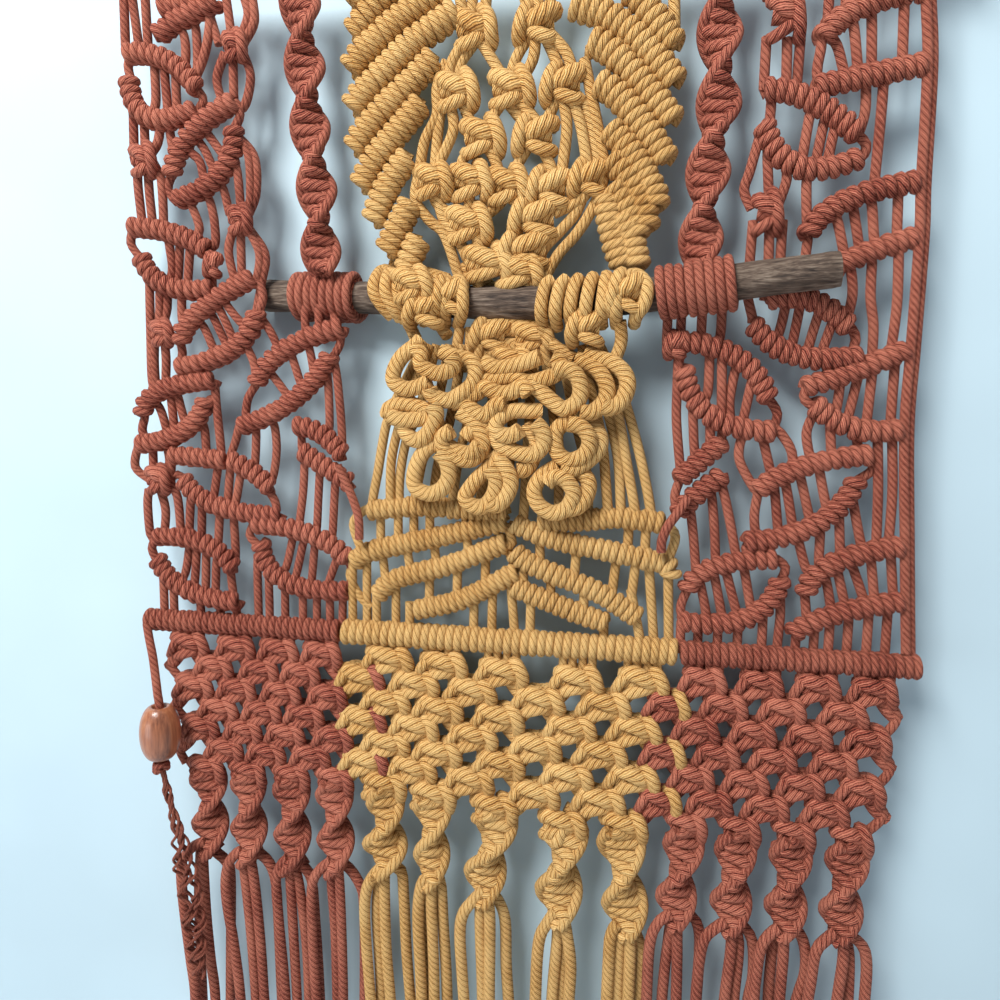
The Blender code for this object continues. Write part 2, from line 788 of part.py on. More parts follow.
def wrap_points(x: float, side: float) -> list:
    """Lead a strand over the stick; side is -1 for its front and +1 for its back."""
    drop, y = along(STICK_LINE, x)
    reach = STICK_RADIUS + WRAP_CLEARANCE
    points = [place(x, TALON_TOP_DROP)]
    for degrees in WRAP_ANGLES:
        angle = math.radians(degrees)
        points.append(place(x, drop - reach * math.sin(angle), y + side * reach * math.cos(angle)))
    points.append(place(x, TALON_LOW_DROP))
    return points


def build_bird(material) -> None:
    """Build the bird: wings, knotted belly, feet, tail, chevrons and curls as one body."""
    shells: list = []
    add_ribs(shells, LEFT_RIBS)
    add_ribs(shells, RIGHT_RIBS)
    for rib, x in ((LEFT_RIBS[0], LEFT_WING_HANGER_X), (RIGHT_RIBS[0], RIGHT_WING_HANGER_X)):
        hanger = [place(x, HEADING_CLEAR_DROP), place(x, drop_of_rib(rib, x))]
        add_strand(shells, hanger, GOLD_STRAND, ROPE_SIDES)
    for knot in BELLY_KNOTS.values():
        add_knot(shells, knot)
    for strand in BELLY_STRANDS:
        add_strand(shells, strand_points(BELLY_KNOTS, strand), GOLD_STRAND)
    for outline in BELLY_OUTLINES:
        add_strand(shells, [place(*point) for point in outline], GOLD_STRAND, ROPE_SIDES)
    for x in LEFT_TALON_X + RIGHT_TALON_X:
        add_strand(shells, wrap_points(x, -1), GOLD_STRAND)
    for x in BACK_STRAND_X:
        add_strand(shells, wrap_points(x, 1), GOLD_STRAND)
    for band in (TALON_TOP_BAND, TALON_LOW_BAND):
        add_strand(shells, [place(*point) for point in band], TALON_BAND_RADIUS, ROPE_SIDES)
    for row in TAIL_STRANDS:
        add_strand(shells, [place(row.x_top, row.drop_top), place(row.x_low, row.drop_low)], GOLD_STRAND)
    for bar in CHEVRONS:
        add_strand(shells, bar_points(bar, 2), CHEVRON_RADIUS, BAR_SIDES)
    low_drop = MAIN_DROP - MAIN_GOLD_RADIUS - GAP
    for x in CARRIER_X:
        add_strand(shells, [place(x, CARRIER_TOP_DROP), place(x, low_drop)], GOLD_STRAND)
    for curl in CURLS:
        add_strand(shells, [place(x, drop, CURL_FRONT) for x, drop in curl], CURL_RADIUS)
    for x, drop in CURL_TIES:
        add_strand(shells, [place(x, drop, CURL_FRONT), place(x, drop, STRAND_BACK)], GOLD_STRAND)
    fuse("bird", shells, material)


def drop_of_rib(rib: Rib, x: float) -> float:
    """Find a rib's drop at x on the straight line between its ends."""
    share = (x - rib.x0) / (rib.x1 - rib.x0)
    return rib.drop0 + share * (rib.drop1 - rib.drop0)


def stick_path(first: float, last: float, steps: int) -> list:
    """Sample the stick's middle line between two x places."""
    points = []
    for i in range(steps + 1):
        x = first + (last - first) * i / steps
        drop, y = along(STICK_LINE, x)
        points.append(place(x, drop, y))
    return points


def build_stick(material) -> None:
    """Build the plain round stick with its cut ends."""
    path = [place(*point) for point in STICK_LINE]
    radii = [STICK_RADIUS] * len(path)
    radii[0] = radii[-1] = STICK_RADIUS * STICK_END_TAPER
    shell = Shell()
    shell.add_loops(tube(path, radii, STICK_SIDES))
    add_object("perch_stick", mesh_from_shells("perch_stick", [shell]), material)


def build_coil(name: str, span: tuple, material) -> None:
    """Build the wound cord around the stick as a sleeve with rounded ends."""
    path = stick_path(span[0], span[1], COIL_STEPS)
    outer = [COIL_RADIUS] * len(path)
    outer[0] = outer[-1] = COIL_RADIUS * COIL_END_TAPER
    inner = tube(path, STICK_RADIUS + COIL_CLEARANCE, STICK_SIDES)
    shell = Shell()
    shell.add_loops(tube(path, outer, STICK_SIDES) + inner[::-1], closed=True)
    add_object(name, mesh_from_shells(name, [shell]), material)


def smooth_line(rows: tuple, drop: float) -> float:
    """Read x from a short top-to-bottom table of (x, drop) rows."""
    for first, last in zip(rows, rows[1:]):
        if drop <= last[1] or last is rows[-1]:
            share = (drop - first[1]) / (last[1] - first[1])
            return first[0] + share * (last[0] - first[0])
    return rows[-1][0]


def twisted_loops(rows: tuple, width: float, depth: float, turn: float, step: float) -> list:
    """Loops of a flat braid that turns as it hangs."""
    start, end = rows[0][1], rows[-1][1]
    half_turns = round(2 * (end - start) / turn)
    count = max(4, round((end - start) / step))
    loops = []
    for i in range(count + 1):
        drop = start + (end - start) * i / count
        x = smooth_line(rows, drop)
        angle = math.pi * half_turns * i / count
        cos, sin = math.cos(angle), math.sin(angle)
        taper = TOP_TAPER if i == 0 else 1.0
        loop = []
        for u, v in ((-0.5, 0.0), (0.0, -0.5), (0.5, 0.0), (0.0, 0.5)):
            a, b = u * width * taper, v * depth * taper
            loop.append(place(x + a * cos - b * sin, drop, a * sin + b * cos))
        loops.append(loop)
    return loops


def build_spiral(name: str, rows: tuple, material) -> None:
    """Build one long half-knot spiral between the heading and its coil."""
    shell = Shell()
    shell.add_loops(twisted_loops(rows, SPIRAL_WIDTH, SPIRAL_DEPTH, SPIRAL_TURN_DROP, SPIRAL_STEP))
    add_object(name, mesh_from_shells(name, [shell]), material)


def build_heading(material) -> None:
    """Build the plain bar that finishes the top edge."""
    ends = [place(-HALF_WIDTH, HEADING_CENTRE_DROP), place(HALF_WIDTH, HEADING_CENTRE_DROP)]
    shell = Shell()
    shell.add_loops(tube(ends, HEADING_RADIUS, STRAIGHT_SIDES))
    add_object("heading", mesh_from_shells("heading", [shell]), material)


def build_main_bar(name: str, x0: float, x1: float, radius: float, material) -> None:
    """Build one colour of the ridged main bar."""
    path, radii = ridged_path([place(x0, MAIN_DROP), place(x1, MAIN_DROP)], radius, MAIN_PITCH)
    shell = Shell()
    shell.add_loops(tube(path, radii, STRAIGHT_SIDES))
    add_object(name, mesh_from_shells(name, [shell]), material)


def net_knots() -> dict:
    """Place every knot of the net by (row, column step); odd rows sit between the columns."""
    knots = {}
    for row in range(NET_ROWS):
        drop = NET_TOP_DROP + row * NET_PITCH_DROP
        if row % 2 == 0:
            for i, x in enumerate(NET_COLUMNS):
                before = NET_COLUMNS[max(i - 1, 0)]
                after = NET_COLUMNS[min(i + 1, len(NET_COLUMNS) - 1)]
                reach = min(abs(x - before) or 99, abs(after - x) or 99) / 2
                knots[(row, 2 * i)] = (x, drop, reach)
        else:
            for i, (x0, x1) in enumerate(zip(NET_COLUMNS, NET_COLUMNS[1:])):
                knots[(row, 2 * i + 1)] = ((x0 + x1) / 2, drop, (x1 - x0) / 2)
    return knots


def net_spots(knot: tuple) -> dict:
    """Give a diamond knot's four corners as (x, drop)."""
    x, drop, reach = knot
    half = reach * NET_KNOT_FILL
    tall = NET_KNOT_HALF_HEIGHT
    return {"l": (x - half, drop), "r": (x + half, drop), "t": (x, drop - tall), "b": (x, drop + tall)}


def halfway(start: tuple, end: tuple, gap: float) -> tuple:
    """Stop a neck half way from start to end, short by half a gap."""
    length = math.hypot(end[0] - start[0], end[1] - start[1])
    share = 0.5 - gap / length
    return (start[0] + share * (end[0] - start[0]), start[1] + share * (end[1] - start[1]))


def net_patches(first: int, last: int) -> list:
    """List the flat pieces of the columns first to last: knots, and their necks or half necks."""
    knots = net_knots()
    patches = []
    for key, knot in knots.items():
        here = net_spots(knot)
        mine = first <= key[1] <= last
        if mine:
            patches.append(([here[spot] for spot in "tlbr"], (knot[0], knot[1])))
        for step, near, far, top in ((1, "r", "l", False), (-1, "l", "r", True)):
            other = (key[0] + 1, key[1] + step)
            if other not in knots:
                continue
            there = net_spots(knots[other])
            theirs = first <= other[1] <= last
            quad = [here["b"], there[far], there["t"], here[near]]
            if mine and not theirs:
                quad[1], quad[2] = halfway(quad[0], quad[1], GAP), halfway(quad[3], quad[2], GAP)
            elif theirs and not mine:
                quad[0], quad[3] = halfway(quad[1], quad[0], GAP), halfway(quad[2], quad[3], GAP)
            elif not mine:
                continue
            patches.append((quad[::-1] if top else quad, None))
    return patches


def build_net(name: str, first: int, last: int, material) -> None:
    """Build one colour of the alternating knot net: raised knots, slanted necks, open holes."""
    builder = bmesh.new()
    corners: dict = {}

    def corner(spot: tuple, y: float) -> bmesh.types.BMVert:
        key = (round(spot[0], 3), round(spot[1], 3), y)
        if key not in corners:
            corners[key] = builder.verts.new(place(spot[0], spot[1], y))
        return corners[key]

    edges: dict = {}
    for outline, peak in net_patches(first, last):
        sides = list(zip(outline, outline[1:] + outline[:1]))
        if peak:
            tip = corner(peak, -NET_HALF_DEPTH - NET_RAISE)
            for start, end in sides:
                builder.faces.new([corner(start, -NET_HALF_DEPTH), corner(end, -NET_HALF_DEPTH), tip])
        else:
            builder.faces.new([corner(spot, -NET_HALF_DEPTH) for spot in outline])
        builder.faces.new([corner(spot, NET_HALF_DEPTH) for spot in outline[::-1]])
        for start, end in sides:
            if edges.pop((end, start), None) is None:
                edges[(start, end)] = True
    for start, end in edges:
        builder.faces.new([
            corner(end, -NET_HALF_DEPTH),
            corner(start, -NET_HALF_DEPTH),
            corner(start, NET_HALF_DEPTH),
            corner(end, NET_HALF_DEPTH),
        ])
    bmesh.ops.recalc_face_normals(builder, faces=builder.faces)
    mesh = bpy.data.meshes.new(name)
    builder.to_mesh(mesh)
    builder.free()
    add_object(name, mesh, material)


def build_sinnet(index: int, sinnet: Sinnet, material) -> None:
    """Build one spiral sinnet with its four fringe strands."""
    shells: list = []
    rows = ((sinnet.x, SINNET_TOP_DROP), (sinnet.x, sinnet.end_drop))
    body = Shell()
    body.add_loops(twisted_loops(rows, sinnet.width, SINNET_DEPTH, SINNET_TURN_DROP, SINNET_STEP))
    shells.append(body)
    radius = GOLD_STRAND if sinnet.gold else RUST_STRAND
    for share, root_share, y in FRINGE_PLACES:
        out = share * sinnet.spread
        root = root_share * sinnet.spread
        path = [
            place(sinnet.x + root, sinnet.end_drop - FRINGE_ROOT_RISE, y),
            place(sinnet.x + out, sinnet.end_drop + FRINGE_SPREAD_FALL, y),
            place(sinnet.x + out, FRINGE_DROP, y),
        ]
        add_strand(shells, path, radius)
    fuse(f"sinnet_{index:02d}", shells, material)


def build_bead(material) -> None:
    """Build the long bead with its through hole."""
    sides = STICK_SIDES
    middle = BEAD_TOP_DROP + BEAD_LENGTH / 2
    loops = []
    for share in (-1.0, -0.7, 0.0, 0.7, 1.0):
        radius = BEAD_END_RADIUS + (BEAD_RADIUS - BEAD_END_RADIUS) * math.sqrt(1 - share * share)
        drop = middle + share * BEAD_LENGTH / 2
        loops.append(ring_loop(drop, radius, sides))
    for share in (1.0, -1.0):
        loops.append(ring_loop(middle + share * BEAD_LENGTH / 2, BEAD_HOLE, sides))
    shell = Shell()
    shell.add_loops(loops, closed=True)
    add_object("bead", mesh_from_shells("bead", [shell]), material)


def ring_loop(drop: float, radius: float, sides: int) -> list:
    """Points of a level circle around the bead's middle line."""
    points = []
    for j in range(sides):
        angle = 2 * math.pi * j / sides
        points.append(place(BEAD_X + radius * math.cos(angle), drop, BEAD_Y + radius * math.sin(angle)))
    return points


def build_bead_cord(material) -> None:
    """Build the cord through the bead, the knot under it and the loosened tail."""
    shells: list = []
    for line in (BEAD_CORD_LINE, BEAD_TAIL_LINE):
        path = [place(point.x, point.drop, point.y) for point in line]
        add_strand(shells, path, [point.radius for point in line], BAR_SIDES)
    add_knot(shells, BEAD_KNOT, BEAD_Y)
    fuse("bead_cord", shells, material)


def main() -> None:
    """Build every sub-part of the hanging."""
    clear_scene()
    rust = make_material("rust_cord", RUST, 0.85)
    gold = make_material("gold_cord", GOLD, 0.85)
    wood = make_material("stick_wood", STICK_BROWN, 0.8)
    bead_wood = make_material("bead_wood", BEAD_BROWN, 0.35)
    build_heading(rust)
    build_leaf_panel("left_leaves", LEFT_BARS, LEFT_KNOTS, LEFT_STRANDS, (), rust)
    build_leaf_panel("right_leaves", RIGHT_BARS, RIGHT_KNOTS, RIGHT_STRANDS, RIGHT_EDGE_BARS, rust)
    build_bird(gold)
    build_stick(wood)
    build_coil("left_coil", LEFT_COIL_SPAN, rust)
    build_coil("right_coil", RIGHT_COIL_SPAN, rust)
    build_spiral("left_spiral", LEFT_SPIRAL, rust)
    build_spiral("right_spiral", RIGHT_SPIRAL, rust)
    build_main_bar("main_bar_left", -HALF_WIDTH, -MAIN_GOLD_HALF - GAP, MAIN_RUST_RADIUS, rust)
    build_main_bar("main_bar_gold", -MAIN_GOLD_HALF, MAIN_GOLD_HALF, MAIN_GOLD_RADIUS, gold)
    build_main_bar("main_bar_right", MAIN_GOLD_HALF + GAP, HALF_WIDTH, MAIN_RUST_RADIUS, rust)
    for name, (first, last) in NET_BLOCKS.items():
        build_net(name, first, last, gold if name == "centre_net" else rust)
    for index, sinnet in enumerate(SINNETS, start=1):
        build_sinnet(index, sinnet, gold if sinnet.gold else rust)
    build_bead(bead_wood)
    build_bead_cord(rust)


main()
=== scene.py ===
"""Dress the macrame wall hanging: every cord, wrap and knot as rope, with the stick and the bead.

The tables give x and drop, the distance below the top edge, in millimetres, as the camera sees
them on the plane of the bars, y = 0. Eye.spot puts a point nearer or farther on the same line of
sight. The front of the hanging faces -Y. Radii, widths and depths are in millimetres too.
"""

import logging
import math
from dataclasses import dataclass
from enum import Enum
from typing import Iterable, NamedTuple

import bmesh
import bpy
import numpy as np
from mathutils import Matrix, Vector


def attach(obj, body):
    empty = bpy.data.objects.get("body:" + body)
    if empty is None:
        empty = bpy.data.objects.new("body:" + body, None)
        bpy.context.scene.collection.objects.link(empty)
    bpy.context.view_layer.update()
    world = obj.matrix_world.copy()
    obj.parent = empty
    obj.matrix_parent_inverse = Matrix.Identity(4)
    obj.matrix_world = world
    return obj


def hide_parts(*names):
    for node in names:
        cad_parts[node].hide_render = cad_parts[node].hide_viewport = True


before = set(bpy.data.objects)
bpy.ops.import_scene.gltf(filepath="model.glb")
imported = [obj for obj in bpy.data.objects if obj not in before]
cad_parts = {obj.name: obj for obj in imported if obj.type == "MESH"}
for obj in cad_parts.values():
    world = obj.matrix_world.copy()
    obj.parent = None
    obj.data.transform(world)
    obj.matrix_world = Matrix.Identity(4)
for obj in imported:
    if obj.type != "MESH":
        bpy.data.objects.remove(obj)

LOG = logging.getLogger("hanging")
MM = 0.001
Pair = tuple[float, float]
Triple = tuple[float, float, float]
Route = tuple[Pair, ...]


class Cord(Enum):
    """The two cord colours, by the record's material slot."""

    RUST = "rust_cord"
    GOLD = "gold_cord"


# Rope radii, bar drops, half widths and the stick's radius.
RUST_ROPE = 2.2
GOLD_ROPE = 2.6
FOOT_ROPE = 3.05
CURL_ROPE = 3.85
MAIN_DROP = 319.0
MAIN_BAR_TOP = 313
MAIN_HALF = 191.0
MAIN_GOLD_HALF = 83.4
HEADING_DROP = 5.2
STICK_RADIUS = 7.6
COIL_ROPE = 2.15


class Winding(NamedTuple):
    """How a bar is hitched: its outer radius, the rope's radius, the wraps' spacing and their lean."""

    radius: float
    rope: float
    pitch: float
    hand: float = 1.0


HEADING_WRAPS = Winding(5.0, 2.1, 4.2)
LEAF_WRAPS = Winding(5.3, 2.45, 4.5)
RIB_WRAPS = Winding(6.7, 2.35, 4.3, -1.0)
CHEVRON_WRAPS = Winding(5.5, 2.05, 3.7, -1.0)
RUST_BAR_WRAPS = Winding(6.1, 1.95, 3.65)
GOLD_BAR_WRAPS = Winding(6.8, 2.3, 4.15, -1.0)
# The share of each wrap's advance that shows at the front; the rest is behind.
FRONT_ADVANCE = 0.22
# How far a wrap sits before its own number, so that the cut ends are behind the bar.
WRAP_LEAD = 0.61
WRAP_WOBBLE = 0.05
# How far the core keeps inside the wraps, in rope radii.
CORE_INSET = 1.4
# How uneven a knot's points are.
KNOT_SWAY = 0.18


def plumb(foot: float, *tops: Pair) -> tuple[Route, ...]:
    """Hang upright strands from the given points down to one drop."""
    return tuple(((x, drop), (x, foot)) for x, drop in tops)


class Bow(NamedTuple):
    """A hitched bar: two ends, the bow of its middle (+ is up) and where along it the bow lies."""

    x0: float
    drop0: float
    x1: float
    drop1: float
    bow: float = 0.0
    skew: float = 0.5
    y: float = 0.0

    def route(self, count: int = 9) -> Route:
        """Sample the bowed bar from its first end to its second."""
        dx, dz = self.x1 - self.x0, self.drop1 - self.drop0
        length = math.hypot(dx, dz)
        side = 1.0 if dx > 0 else -1.0
        mid_x = self.x0 + self.skew * dx + 2 * self.bow * side * dz / length
        mid_drop = self.drop0 + self.skew * dz - 2 * self.bow * side * dx / length
        rows = []
        for i in range(count):
            t = i / (count - 1)
            a, b, c = (1 - t) ** 2, 2 * t * (1 - t), t * t
            x = a * self.x0 + b * mid_x + c * self.x1
            rows.append((x, a * self.drop0 + b * mid_drop + c * self.drop1))
        return tuple(rows)


class Tie(NamedTuple):
    """A square knot as seen: its middle, width, height, whether it is mirrored, and its y."""

    x: float
    drop: float
    width: float
    height: float
    mirrored: bool = False
    y: float = 0.0


class KnotPass(NamedTuple):
    """One pass of cord in a square knot of the standard size: its radius and (x, up, forward)."""

    radius: float
    route: tuple[Triple, ...]


class Curl(NamedTuple):
    """A loop of loose rope: how far in front it starts, how far forward it rises, and its route."""

    front: float
    rise: float
    route: Route


LEFT_LEAVES = (
    Bow(-172, 19, -152, 15.5),
    Bow(-174, 31, -143, 16.5, 1.5, 0.2),
    Bow(-191, 38, -154, 56, 6),
    Bow(-190, 49, -155, 65, -13, 0.35),
    Bow(-169, 95, -135, 62, 6, 0.35),
    Bow(-167, 107, -136, 74, -9, 0.65),
    Bow(-192, 119, -151, 131, 3, 0.6),
    Bow(-187, 133, -149, 149.5, -8, 0.35),
    Bow(-167, 176, -127, 144, 5.5, 0.2),
    Bow(-169, 188, -126, 160, -8.5, 0.7),
    Bow(-189, 212, -149, 194, 7, 0.15),
    Bow(-192, 227, -154, 203, -7.5, 0.65),
    Bow(-127, 196, -82, 168, 6.5, 0.3),
    Bow(-136, 217, -88, 181, -6, 0.55),
    Bow(-107, 216, -82, 230, 3.5, 0.4),
    Bow(-104, 228, -78, 244),
    Bow(-174, 232, -144, 234),
    Bow(-142, 234, -120, 248, 2),
    Bow(-168, 244, -115, 261, -7, 0.3),
    Bow(-184, 275, -141, 290, 7, 0.65),
    Bow(-184, 286, -139, 307, -7.5, 0.35),
    Bow(-130, 266, -80, 282, 5.5, 0.65),
    Bow(-126, 275, -80, 298, -12, 0.25),
)
LEFT_TIES = (
    Tie(-184, 87.5, 15, 13),
    Tie(-177, 171, 12, 10),
    Tie(-182, 245, 14, 12),
    Tie(-135, 37, 13, 11),
    Tie(-134, 116.5, 13, 11),
    Tie(-148.5, 138, 9, 9, True),
)
LEFT_LINKS: tuple[Route, ...] = (
    ((-191, 8), (-191, 37)), ((-187, 8), (-183.5, 38)), ((-180, 8), (-179, 38)),
    ((-168, 8), (-168, 20)), ((-160, 8), (-160, 18)), ((-150, 8), (-152, 17)), ((-160, 32), (-160, 43)),
    ((-154, 29), (-154, 47)), ((-147, 26), (-150, 40), (-156, 52)), ((-176, 43), (-176, 60)),
    ((-171, 45), (-170, 62)), ((-165, 48), (-165, 64)), ((-188, 38), (-190, 44), (-188, 52)),
    ((-154, 56), (-151, 61), (-155, 66)), ((-188, 62), (-188.5, 83)), ((-182.5, 68), (-182.5, 82)),
    ((-174.5, 74), (-176, 80), (-180, 85)), ((-169, 75), (-167.5, 84)),
    ((-187, 92), (-187, 100), (-185.5, 117)), ((-181.5, 92), (-181, 104), (-180, 117)),
    ((-178, 89), (-174.5, 97), (-174, 117)), ((-151.5, 83), (-147, 92)), ((-154.5, 88), (-152, 97)),
    ((-146.5, 80), (-141, 87)), ((-135, 62), (-132.5, 68), (-136, 75)),
    ((-169, 95), (-171, 101), (-167, 108)), ((-159, 109), (-155, 120)),
    ((-149, 108), (-147, 118), (-147, 128)), ((-171.5, 126), (-170, 140)), ((-165.5, 127), (-167, 143)),
    ((-160, 128), (-162, 146)), ((-149, 128), (-149, 145)), ((-190, 119), (-192, 127), (-187, 134)),
    ((-182.5, 144), (-183, 170), (-183, 195)), ((-177, 147), (-177.5, 157), (-177, 168)),
    ((-173, 148), (-173.5, 158), (-175, 168)), ((-165.5, 152), (-165.5, 165)),
    ((-181, 176), (-181.5, 186), (-181, 197)), ((-175.5, 175), (-175, 184), (-175.5, 195)),
    ((-149, 163), (-142.5, 176)), ((-144, 162), (-138, 175)), ((-154, 168), (-149, 179)),
    ((-141, 158), (-134, 166)), ((-167, 175), (-166, 181), (-168, 188)),
    ((-127, 144), (-122.5, 152), (-125, 161)), ((-125, 162), (-119, 170), (-115.5, 177)),
    ((-133, 175), (-128, 185), (-127, 194)), ((-179, 209), (-175.5, 221)), ((-173, 203), (-171.5, 220)),
    ((-169, 203), (-166, 214)), ((-187.5, 212), (-189.5, 220), (-186, 227)),
    ((-155.5, 217), (-154.5, 230)), ((-148.5, 205), (-146.5, 229)),
    ((-192, 228), (-194, 234), (-193.5, 240), (-185, 246)), ((-184, 229), (-184, 241)),
    ((-176, 228), (-175, 236), (-178, 242)), ((-187, 250), (-188, 258), (-187, 274)),
    ((-180.5, 250), (-178, 260.5), (-179, 272)), ((-174.5, 246), (-171, 254.5), (-169.7, 275)),
    ((-166, 246), (-170, 242), (-175, 244)), ((-163.5, 252), (-165.5, 275)),
    ((-157.5, 256), (-158.5, 275)), ((-148, 262), (-149.5, 278)), ((-140.5, 263), (-140, 284)),
    ((-148, 235), (-151, 252)), ((-141.5, 236), (-143.5, 254)), ((-136, 240), (-138.5, 252)),
    ((-136, 215), (-138.5, 224), (-142, 233)), ((-127.5, 219), (-128.5, 236)),
    ((-117.5, 217), (-116.8, 229), (-119, 242)), ((-122, 248), (-118, 254), (-117, 262)),
    ((-101, 157), (-101, 176)), ((-94, 157), (-94, 171)), ((-86, 157), (-86, 168)),
    ((-108, 182), (-103, 197)), ((-118.5, 191), (-109, 203)), ((-98.5, 180), (-96.5, 191)),
    ((-127, 196), (-131.5, 203), (-133, 213)), ((-84, 168), (-83, 175), (-87, 182)),
    ((-90, 188), (-89, 216)), ((-86, 186), (-83.5, 206), (-82.5, 226)), ((-103.5, 217), (-103.5, 229)),
    ((-102, 231), (-103, 248), (-105.5, 266)), ((-94, 236), (-95, 250), (-96, 266)),
    ((-86, 242), (-87, 255), (-88, 270)), ((-109, 273), (-112.5, 287)), ((-103, 273), (-107.5, 292)),
    ((-97, 273), (-99, 293)), ((-84.5, 279), (-90, 294)), ((-130, 266), (-132, 272), (-127, 277)),
    ((-80, 282), (-77.5, 289), (-80, 297)), ((-165, 277), (-168, 293)), ((-161, 278), (-163, 298)),
    ((-156, 281), (-157, 301)), ((-150.3, 285), (-151.5, 302)), ((-143, 289), (-141.5, 305)),
    ((-184, 275), (-186.5, 281), (-184, 287)),
    *plumb(MAIN_BAR_TOP, (-128, 284), (-122, 290), (-113.5, 294), (-104, 297), (-96.5, 298),
        (-89.5, 298)),
    ((-82.5, 298), (-83, 313)), *plumb(MAIN_BAR_TOP, (-180.5, 292), (-175, 298), (-160, 303)),
    ((-150, 304), (-149, 313)), ((-141, 305), (-140, 313)), ((-147.5, 20), (-142.5, 36)),
    ((-139.5, 8), (-137.5, 21), (-136, 33)), ((-131, 8), (-129.5, 15), (-127.5, 24), (-131, 33)),
    ((-127, 8), (-125, 17), (-124.5, 27), (-130, 36)), ((-139.5, 40), (-144, 51.5), (-141, 63)),
    ((-135.5, 41), (-135.5, 62)), ((-130, 41), (-126.8, 51), (-129.5, 63), (-134, 66)),
    ((-136, 76), (-129, 86), (-128, 105), (-130, 114)),
    ((-134, 78), (-125.5, 88), (-125, 104), (-129, 114)), ((-135, 92), (-133, 112)),
    ((-142, 102), (-139, 114)), ((-137, 120), (-140, 132), (-136, 149)), ((-133.5, 121), (-133.5, 147)),
    ((-130, 120), (-124, 133), (-126, 146)), ((-129, 121), (-121, 133), (-123, 146)),
)

RIGHT_LEAVES = (
    Bow(131, 48, 170, 30.5, 5, 0.3),
    Bow(130, 67, 173, 60),
    Bow(109, 67, 148, 87, 4, 0.4),
    Bow(109, 81, 150, 96.5, -12, 0.45),
    Bow(130, 129, 174, 107, 6.5, 0.25),
    Bow(133, 148, 175, 130, 2, 0.5, 1.5),
    Bow(114, 156, 150, 168, 6, 0.45),
    Bow(109, 166, 156, 180, -8, 0.4),
    Bow(133, 194, 175, 177, -1),
    Bow(137, 201, 175, 212, -5.5, 0.45),
    Bow(115, 241, 163, 223.5, 4, 0.4),
    Bow(111, 265, 158, 234, -9, 0.6),
    Bow(139, 288, 179, 264, 7, 0.2),
    Bow(134, 307, 181, 289, 3, 0.3),
    Bow(73, 174, 118, 200, 9, 0.6),
    Bow(80, 186, 121, 214, -10.5, 0.4),
    Bow(80, 237, 99, 219),
    Bow(80, 253, 100, 234, 1),
    Bow(86, 289, 125, 272, 6, 0.2),
    Bow(84, 304, 128, 281, -11, 0.65),
)
RIGHT_TIES = (
    Tie(115.5, 38, 20, 19),
    Tie(112.5, 119, 15, 16),
    Tie(76, 176, 10, 9, True),
)
